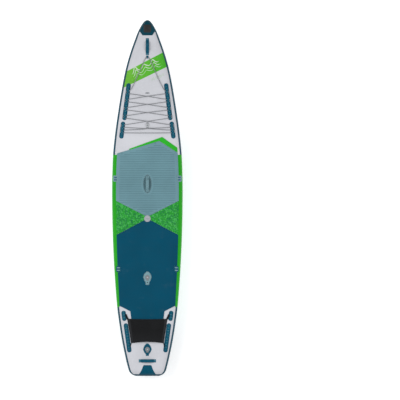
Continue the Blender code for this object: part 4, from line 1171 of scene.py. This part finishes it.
def handle(prefix, centre, along, half, base, looks):
    """Arched webbing sewn down at both ends, with a padded sleeve round its middle."""
    strap_mat, grip_mat, strap_slot, grip_slot, thread, ridge = looks
    cx, cy = centre
    dx, dy = along
    side = np.array([-dy, dx, 0.0])
    tab = 0.022

    def height(s):
        reach = np.clip((np.abs(s) - 0.03) / (half - tab - 0.03), 0, 1)
        return HANDLE_RISE * (1 - reach * reach * (3 - 2 * reach))

    def run(s):
        at = lay(cx + dx * s, cy + dy * s, base + 0.001)
        at[:, 2] += height(s)
        slope = np.gradient(at[:, 2], s)
        up = unit(np.stack([-dx * slope, -dy * slope, np.ones_like(s)], 1))
        return at, up

    stops = np.concatenate([[-half, -half + 0.002], np.linspace(-half + tab, half - tab, 41),
                            [half - 0.002, half]])
    at, up = run(stops)
    h = 0.0165   # half the webbing's width
    ring = [(-h, -0.0006), (-h + 0.0006, -0.001), (h - 0.0006, -0.001), (h, -0.0006), (h, 0.0006),
            (h - 0.0006, 0.001), (0.004, 0.00115), (-0.004, 0.00115), (-h + 0.0006, 0.001), (-h, 0.0006)]
    strap = Build()
    strap.add(sweep(at, up, side, ring))
    for end in (-1, 1):
        for off, zig in ((0.0035, 0.0), (0.0155, 0.0), (0.0095, 0.0055), (0.0095, -0.0055)):
            s0 = end * (half - off)
            p = np.array([cx + dx * s0, cy + dy * s0])
            d = np.array([-dy, dx]) * 0.013
            shift = np.array([dx, dy]) * zig
            q, r = p - d - shift, p + d + shift
            strap.add(plate(capsule(q, r, 0.0011, 3), base + 0.0018, base + 0.0026, step=0.012,
                            lip=0.0002), 1)
    strap.piece(prefix + "_webbing", [strap_mat, thread], prefix + "_strap", strap_slot)

    # The sleeve swells over its padding, is drawn in at both ends, and has a sewn ridge along each side.
    reach = half - 0.021
    s = np.linspace(-reach, reach, 45)
    at, up = run(s)
    room = height(s) + 0.0004
    ends = np.clip((reach - np.abs(s)) / 0.012, 0, 1)
    full = 0.55 + 0.45 * np.sin(ends * math.pi / 2) ** 0.8
    ripple = 1 + 0.012 * np.sin(s * 2 * math.pi / 0.017)
    verts, n_ring = [], 28
    for c, u, f, rp, below in zip(at, up, full, ripple, room):
        for k in range(n_ring):
            t = 2 * math.pi * k / n_ring
            a = abs(math.cos(t)) ** 0.75 * math.copysign(1, math.cos(t)) * 0.0178 * (0.9 + 0.1 * f)
            b = abs(math.sin(t)) ** 0.8 * math.copysign(1, math.sin(t)) * 0.0062 * f * rp
            b = max(b, -below)
            verts.append(c + side * a + u * b)
    sleeve = Build().add((verts, loft_faces(len(s), n_ring)))
    for hand in (-1, 1):
        piping = [at[j] + side * hand * 0.006 + up[j] * 0.006 * full[j] for j in range(1, 44)]
        sleeve.add(tube(piping, 0.0009, 8), 2)
        for k in range(1, 22):
            j = 2 * k
            c = at[j] + side * hand * 0.013 + up[j] * 0.0048 * full[j]
            d = unit(at[min(j + 1, 44)] - at[j - 1])
            sleeve.add(tube([c - d * 0.0011, c + d * 0.0011], 0.00045, 6), 1)
    obj = sleeve.piece(prefix + "_sleeve", [grip_mat, thread, ridge], prefix + "_grip", grip_slot)


handle("nose_handle", (0, 1.623), (0, 1), 0.09, PATCH[0], IN_PETROL)
handle("centre_handle", (0, HANDLE_Y), (0, 1), 0.088, 0.0033, IN_BLUE)
handle("tail_handle", (0, -1.746), (1, 0), 0.092, PATCH[0], IN_PETROL)

# ---------------------------------------------------------------- bungee lacing

CORD_D, CORD_H, LOW, HIGH = 0.0065, 0.0094, 0.0052, 0.0126
LOCK, HOLE_X, HOLE_H, NOSE_LOOP_Y = (0.0, 0.78), 0.0052, 0.0095, 1.512


def spot(x, y, d):
    return lay(np.array([x]), np.array([y]), d)[0]


def loop_point(y, out, sign):
    """A point of the cord beside or under a webbing loop, out metres outwards of its middle."""
    start, end = STRIPS["strip_front_long" if y > 0.826 else "strip_front_short"][:2]
    a, b, along, side = directions(start, end)
    p = a + along * ((a[1] - y) / -along[1]) + side * out
    q = spot(p[0], p[1], CORD_H)
    return np.array([sign * q[0], q[1], q[2]])


def hook(first, second, sign):
    """The cord goes under one loop, turns outside the webbing and comes back under another."""
    (in_a, out_a), (in_b, out_b) = [(loop_point(y, -0.015, sign), loop_point(y, 0.011, sign))
                                    for y in (first, second)]
    centre, half = (out_a + out_b) / 2, (out_a - out_b) / 2
    outward = unit(out_a - in_a) * np.linalg.norm(half) * 0.45
    bend = [centre + half * math.cos(t) + outward * math.sin(t) for t in
            (math.pi / 4, math.pi / 2, math.pi * 3 / 4)]
    return [in_a, out_a, *bend, out_b, in_b]


def crossing(y, height):
    return [spot(0, y, height)]


first_pass = [
    hook(0.7296, 0.7004, -1), hook(0.7004, 0.7296, 1), crossing(0.7432, LOW), hook(0.7588, 0.788, -1),
    crossing(0.8216, LOW), hook(0.8563, 0.8855, 1), crossing(0.9147, LOW), hook(0.9439, 0.9731, -1),
    crossing(1.0023, LOW), hook(1.0315, 1.0607, 1), crossing(1.0899, LOW), hook(1.1191, 1.1483, -1),
]
second_pass = [
    hook(1.1483, 1.1191, 1), crossing(1.0899, HIGH), hook(1.0607, 1.0315, -1), crossing(1.0023, HIGH),
    hook(0.9731, 0.9439, 1), crossing(0.9147, HIGH), hook(0.8855, 0.8563, -1), crossing(0.8216, HIGH),
    hook(0.788, 0.7588, 1),
]
ly = LOCK[1]
route = [spot(-HOLE_X, ly + 0.0295, HOLE_H), spot(-HOLE_X, ly - 0.021, HOLE_H + 0.0006),
         spot(-HOLE_X - 0.0012, ly - 0.03, 0.0122), spot(-HOLE_X - 0.006, ly - 0.0375, 0.0132),
         spot(-0.026, ly - 0.0408, 0.0126)]
for part in first_pass:
    route += part
for x, y in ((-0.02, -0.0135), (-0.0095, -0.0025), (0, 0), (0.0095, -0.0025), (0.02, -0.0135)):
    route.append(spot(x, NOSE_LOOP_Y + y, 0.0072))
for part in second_pass:
    route += part
route += [spot(0.026, ly - 0.033, 0.011), spot(HOLE_X + 0.006, ly - 0.0305, 0.0108),
          spot(HOLE_X + 0.001, ly - 0.0265, 0.01), spot(HOLE_X, ly - 0.02, HOLE_H),
          spot(HOLE_X, ly + 0.0295, HOLE_H)]


def on_the_deck(line, lift):
    """Keep a line at least lift above the deck."""
    floor = lay(line[:, 0], line[:, 1], lift)
    line = line.copy()
    line[:, 2] = np.maximum(line[:, 2], floor[:, 2])
    return line


LACE = on_the_deck(catmull(route, 7), CORD_D / 2 + 0.0015)
LACE_LENGTH = float(np.linalg.norm(np.diff(LACE, axis=0), axis=1).sum())
lace = piece("bungee_lacing", tube(LACE, CORD_D / 2), "cord", "bungee_cord", "cord_grey", smooth=60)

loop = Build()
loop.add(plate(rounded((0, NOSE_LOOP_Y - 0.001), (0.026, 0.032), 0.006), *PATCH, step=0.015))
a, b = (0, NOSE_LOOP_Y - 0.017), (0, NOSE_LOOP_Y + 0.015)
loop.add(webbing(a, b, 0.01, arch_line([0.016], 0.003, 0.002, 0.03, 0.017, 0.0092), 0.0012), 1)
tack(loop, a, b, 0.004, 0.0036, 0.0042, 2)
tack(loop, a, b, 0.028, 0.0036, 0.0042, 2)
loop.piece("bungee_nose_loop_webbing", ["petrol", "web_petrol", "thread"], "bungee_nose_loop",
           "webbing_petrol")

EYELET_Y = 1.125
eyelet = Build()
eyelet.add(plate(capsule((-0.0215, EYELET_Y), (0.0215, EYELET_Y), 0.014), 0.0017, 0.0042, step=0.015,
                 lip=0.0009))
rivet = [(0.0, 0.0), (0.004, 0.0), (0.0036, 0.0012), (0.0022, 0.0016), (0.0, 0.0016)]
for x in (-0.0125, 0.0125):
    eyelet.add(lathe(rivet, spot(x, EYELET_Y, 0.004), 20), 1)
eyelet.piece("deck_eyelet_plate", ["nylon", "nylon_light"], "deck_eyelet", "nylon_grey")


def cut(obj, shell):
    """One exact Boolean with a tool that is used up."""
    tool = bpy.data.objects.new("tool", solid("tool", shell))
    bpy.context.scene.collection.objects.link(tool)
    mod = obj.modifiers.new("cut", "BOOLEAN")
    mod.operation, mod.solver, mod.object = "DIFFERENCE", "EXACT", tool
    graph = bpy.context.evaluated_depsgraph_get()
    mesh = bpy.data.meshes.new_from_object(obj.evaluated_get(graph), depsgraph=graph)
    obj.modifiers.clear()
    obj.data = mesh
    mesh.set_sharp_from_angle(angle=math.radians(35))
    bpy.data.objects.remove(tool)


def dome(outline, low, top, edge, steps=4):
    """A block with that outline and a rounded upper rim, standing on the flat deck."""
    ring = np.array(outline)
    if signed_area(ring) < 0:
        ring = ring[::-1]
    layers = [(0.0, low), (0.0, top - edge)]
    layers += [(edge * (1 - math.cos(t)), top - edge + edge * math.sin(t)) for t in
               np.linspace(0, math.pi / 2, steps + 1)[1:]]
    return [(x, y, z) for by, z in layers for x, y in inset(ring, by)], loft_faces(len(layers), len(ring))


lock_z = float(spot(*LOCK, 0.0)[2])
housing = dome(capsule((0, ly - 0.019), (0, ly + 0.019), 0.027, 12), lock_z + 0.003, lock_z + 0.019, 0.003)
lock = piece("cord_lock_housing", housing, "nylon_light", "cord_lock_body", "nylon_grey")
for x in (-HOLE_X, HOLE_X):
    cut(lock, tube([(x, ly + y, lock_z + HOLE_H) for y in (-0.03, 0, 0.03)], 0.0041, 20))
cut(lock, lathe([(0.0, 0.0), (0.0071, 0.0), (0.0071, 0.02), (0.0, 0.02)], (0, ly, lock_z + 0.0148), 32))
button = [(0, 0.0226), (0.003, 0.0226), (0.0046, 0.0231), (0.0058, 0.0228), (0.0064, 0.022), (0.0064, 0.0176),
          (0, 0.0176)]
piece("cord_lock_push_button", lathe(button, (0, ly, lock_z), 36), "nylon", "cord_lock_button", "nylon_black",
      "cord_lock_button")

# ---------------------------------------------------------------- valves

# Profiles are (radius, height above the flat deck).
WELL = [(0.0, -0.042), (0.0224, -0.042), (0.0224, 0.01), (0.0, 0.01)]
STUD = [(0, 0.003), (0.0042, 0.003), (0.0046, 0.0036), (0.006, 0.0036), (0.0064, 0.0029), (0, 0.0029)]
SEAT = [(0.0178, 0.005), (0.0182, 0.0054), (0.024, 0.0054), (0.025, 0.0046), (0.025, 0.0033),
        (0.022, 0.0033), (0.022, -0.038), (0.019, -0.038), (0.019, -0.0172), (0.0052, -0.0172),
        (0.0052, -0.0142), (0.0178, -0.0142)]
DOT = [(0, 0), (0.0008, 0), (0.0006, 0.0005), (0, 0.0005)]
STEM = [(0, -0.0024), (0.004, -0.0022), (0.006, -0.002), (0.007, -0.0026), (0.0072, -0.0034),
        (0.0072, -0.0058), (0.0047, -0.0058), (0.0047, -0.0176), (0.0155, -0.0176), (0.016, -0.0182),
        (0.016, -0.02), (0, -0.02)]
LID = [(0, 0.0074), (0.007, 0.0075), (0.0092, 0.0078), (0.0104, 0.0086), (0.019, 0.0088), (0.0218, 0.0084),
       (0.023, 0.0076), (0.0232, 0.0066), (0.0228, 0.0057), (0.0172, 0.0056), (0.0172, 0.002),
       (0.0169, 0.0018), (0.0156, 0.0018), (0.0154, 0.0056), (0, 0.0056)]
LID_CENTRE = [(0, 0.008), (0.005, 0.0081), (0.0062, 0.0078), (0.0066, 0.007), (0, 0.007)]
COIL_TURNS, COIL_R, HINGE_BACK = 3.5, 0.0062, 0.031


def collar(name, at, ring, mats, slot):
    """The glued patch round a valve, with a printed line inside its edge."""
    patch = Build()
    patch.add(plate(ring, *PATCH, holes=[circle(0, at[1], 0.0228)], step=0.012, lip=0.0004))
    patch.add(plate(inset(ring, 0.004), PATCH[1], 0.0032, holes=[inset(ring, 0.0052)], step=0.012,
                    lip=0.0001), 1)
    if name == "valve_mid":
        patch.add(lathe(STUD, (0, -0.906, DECK_Z), 28), 2)
    patch.piece(name + "_collar", mats, name + "_patch", slot)


def valve_seat(name, at):
    """The ring and well that the plunger sits in, with the cap's hinge ears."""
    _, y, z = at
    seat = Build()
    seat.add(lathe(SEAT, at, closed=True))
    seat.add(brick((0, y - 0.028, z + 0.004), (0.024, 0.013, 0.0014)))
    for hand in (-1, 1):
        seat.add(brick((hand * 0.0078, y - HINGE_BACK, z + 0.0062), (0.003, 0.006, 0.005), 0.0008))
    for k in range(12):
        t = 2 * math.pi * (k + 0.5) / 12
        if math.sin(t) > -0.75:
            dot = (0.0241 * math.cos(t) * 0.985, y + 0.0241 * math.sin(t) * 0.985, z + 0.0052)
            seat.add(lathe(DOT, dot, 10))
    seat.piece(name + "_seat", "nylon", name + "_body", "nylon_grey")


def plunger(name, at):
    """The plunger and the spring that it presses on."""
    _, y, z = at
    piece(name + "_stem", lathe(STEM, at, 36), "nylon_light", name + "_plunger", "nylon_light",
          name + "_plunger")
    helix = [(COIL_R * math.cos(2 * math.pi * t), y + COIL_R * math.sin(2 * math.pi * t),
              z - 0.0066 - 0.0068 * t / COIL_TURNS) for t in np.linspace(0, COIL_TURNS, 85)]
    spring = piece(name + "_coil", tube(helix, 0.0005, 8), "steel", name + "_spring", "spring_steel")
    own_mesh(spring)


def valve_cap(name, at):
    """The cap with its grip ribs, thumb tab and hinge barrel."""
    _, y, z = at
    lid = Build()
    lid.add(lathe(LID, at, 64))
    lid.add(lathe(LID_CENTRE, at, 36), 1)
    for c, s in circle(0, 0, 1, 36):
        rib = [(r * c, y + r * s, z + up) for r, up in ((0.0122, 0.0087), (0.0186, 0.0088))]
        lid.add(tube(rib, 0.00035, 6))
    lid.add(brick((0, y - 0.0262, z + 0.0072), (0.008, 0.009, 0.0014)))
    lid.add(tube([(x, y - HINGE_BACK, z + 0.0072) for x in (-0.0056, 0.0, 0.0056)], 0.0016, 16))
    lid.add(brick((0, y + 0.0238, z + 0.0066), (0.009, 0.004, 0.0014), 0.0005))
    lid.piece(name + "_lid", ["nylon", "nylon_light"], name + "_cap", "nylon_grey", name + "_cap")


VALVES = {
    "valve_mid": ((0, -0.851, DECK_Z), valve_mid,
                  ["blue_grey", "thread_dark", "nylon_black"], "pvc_blue_grey"),
    "valve_tail": ((0, -1.6225, DECK_Z), valve_tail, ["petrol", "thread", "nylon_black"], "pvc_petrol"),
}
for name, (at, *patch) in VALVES.items():
    cut(chamber, lathe(WELL, at))
    cut(deck, lathe(WELL, at))
    collar(name, at, *patch)
    valve_seat(name, at)
    plunger(name, at)
    valve_cap(name, at)

for name, y, low, high, mat, slot in (
        ("hull_disc_mid", -0.8436, 0.0017, 0.003, "hull_petrol", "pvc_petrol"),
        ("hull_disc_tail", -1.625, 0.0033, 0.0045, "blue_grey", "pvc_blue_grey")):
    disc = Build()
    disc.add(plate(circle(0, y, 0.035), low, high, side=-1, step=0.02))
    disc.add(plate(circle(0, y, 0.025), high, high + 0.0004, holes=[circle(0, y, 0.0238)], side=-1, step=0.02,
                   lip=0.0001))
    disc.piece(name + "_patch", mat, name, slot)

# ---------------------------------------------------------------- fins

STAGES = [
    (0.169, -1.433, -1.625, 0.0042), (0.156, -1.438, -1.623, 0.0041), (0.115, -1.476, -1.631, 0.0036),
    (0.07, -1.529, -1.652, 0.0029), (0.03, -1.593, -1.685, 0.0021), (0.008, -1.648, -1.71, 0.0014),
    (0.0, -1.68, -1.716, 0.0008),
]
FIN_X, FOOT_Y, FOOT_LENGTH = 0.143, (-1.448 - 1.625) / 2, 1.625 - 1.448
stages = catmull(STAGES, 7)
stages[:, 3] = np.maximum(stages[:, 3], STAGES[-1][3])
stages[:, 0] = np.maximum(stages[:, 0], 0.0)
us = (1 - np.cos(np.linspace(0, math.pi, 15))) / 2
foil = 2.6 * np.sqrt(us) * (1 - us) ** 0.85 * (1 - 0.12 * us)
foil = foil / foil.max()
foil[0], foil[-1] = 0.0, 0.05
ring = [*zip(us, foil), *zip(us[:0:-1], -foil[:0:-1])]
for tag, sign in SIDES:
    x = sign * FIN_X
    blade = Build()
    verts = [(x + f * half, front + (rear - front) * u, z)
             for z, front, rear, half in stages for u, f in ring]
    blade.add((verts, loft_faces(len(stages), len(ring))))
    blade.add(brick((x, FOOT_Y, 0.1725), (0.0054, FOOT_LENGTH, 0.013), 0.0006))
    blade.add(brick((x, FOOT_Y, 0.1797), (0.0144, FOOT_LENGTH, 0.004), 0.0006))
    blade.piece("fin_blade_" + tag, "fin", "fin_" + tag, "fin_black", "fin_" + tag)
    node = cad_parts["fin_box_" + tag]
    node.data.materials.clear()
    node.data.materials.append(M["nylon_black"])
    bevel = node.modifiers.new("edges", "BEVEL")
    bevel.width, bevel.segments, bevel.limit_method = 0.0006, 2, "ANGLE"

# ---------------------------------------------------------------- stretch cargo cover

COVER = [(-1.296, 0.214), (-1.35, 0.205), (-1.428, 0.1925), (-1.505, 0.181), (-1.555, 0.173)]
CROWN, HEM = 0.03, 0.002
cover_rows = catmull(COVER, 10)
us = np.linspace(-1, 1, 61)
n_rows = len(cover_rows)
top = np.zeros((n_rows, len(us), 3))
for k, (y, reach) in enumerate(cover_rows):
    t = k / (n_rows - 1)
    bow = -0.007 * max(0.0, 1 - t * 3.2) ** 1.5 + 0.015 * max(0.0, 1 - (1 - t) * 3.2) ** 1.5
    for j, u in enumerate(us):
        rise = HEM + (CROWN - HEM) * (1 - u * u) * (1 - 0.2 * abs(2 * t - 1))
        # Faint folds run in from the four corners, where the cover is pulled.
        corner = max(0.0, abs(u) - 0.45) * (abs(2 * t - 1))
        fold = 0.0016 * corner * math.sin(34 * (abs(u) * 0.9 + (2 * t - 1) * math.copysign(0.7, 2 * t - 1)))
        top[k, j] = (u * reach, y + bow * (1 - u * u), DECK_Z + rise + fold + 0.0018)
cover = piece("cargo_cover_mesh", slab(top, top - (0, 0, 0.0014)), "net", "cargo_cover", "mesh_black",
              smooth=60)
for tag, line in (("front", top[0, ::2]), ("rear", top[-1, ::2]), ("right", top[:, -1]), ("left", top[:, 0])):
    hem = tube(line - (0, 0, 0.0005), 0.0024, 10)
    piece("cargo_cover_hem_" + tag, hem, "hem", slot="mesh_black", smooth=60)
for tag, sign in SIDES:
    for end, p, q, wide in (("front", (0.206, -1.306), (0.233, -1.248), 0.019),
                            ("rear", (0.17, -1.548), (0.187, -1.596), 0.0085)):
        p, q = np.array(p) * (sign, 1), np.array(q) * (sign, 1)
        length = math.dist(p, q)
        line = [(s, 0.003 + 0.0042 * math.sin(math.pi / 2 * s / length)) for s in np.linspace(0, length, 12)]
        piece("cargo_cover_tie_%s_%s" % (end, tag), webbing(p, q, wide, line, 0.0012), "hem",
                          slot="mesh_black")

# ---------------------------------------------------------------- camera, light and floor

scene = bpy.context.scene
scene.view_settings.view_transform = "Standard"

camera = bpy.data.objects.new("camera", bpy.data.cameras.new("camera"))
camera.data.type, camera.data.ortho_scale = "ORTHO", 4.288
camera.location, camera.rotation_euler = (0.564, -0.0215, 6.0), (0, 0, 0)
camera.data.clip_end = 50
scene.collection.objects.link(camera)
scene.camera = camera

tuple(LACE[0])
[tuple(p) for p in LACE]

floor_mat = Nodes("studio_floor")
speck = floor_mat.noise(3.0, 3)
floor_mat.finish(floor_mat.mix(speck, (0.93, 0.93, 0.93), (0.97, 0.97, 0.97)), 0.9)
floor_mat.shader.inputs["Emission Color"].default_value = (1, 1, 1, 1)
floor_mat.shader.inputs["Emission Strength"].default_value = 0.36
mesh = bpy.data.meshes.new("floor")
corners = [(-30, -30, -0.001), (30, -30, -0.001), (30, 30, -0.001), (-30, 30, -0.001)]
mesh.from_pydata(corners, [], [(0, 1, 2, 3)])
mesh.materials.append(floor_mat.mat)
floor = bpy.data.objects.new("floor", mesh)
scene.collection.objects.link(floor)
floor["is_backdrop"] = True

world = bpy.data.worlds.new("studio")
world.use_nodes = True
world.node_tree.nodes["Background"].inputs["Color"].default_value = (1, 1, 1, 1)
world.node_tree.nodes["Background"].inputs["Strength"].default_value = 0.6
scene.world = world


def area(name, place, target, size, power):
    light = bpy.data.lights.new(name, "AREA")
    light.shape, light.size, light.energy = "SQUARE", size, power
    obj = bpy.data.objects.new(name, light)
    obj.location = place
    obj.rotation_euler = (Vector(target) - Vector(place)).to_track_quat("-Z", "Y").to_euler()
    scene.collection.objects.link(obj)


area("key", (-2.8, -0.3, 4.4), (0, 0, 0.3), 3.4, 112)
area("fill", (3.0, -0.6, 4.0), (0, 0, 0.3), 3.4, 62)

low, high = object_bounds()
{"cad": [list(CAD_BOX[0]), list(CAD_BOX[1])], "visual": [list(low), list(high)]}
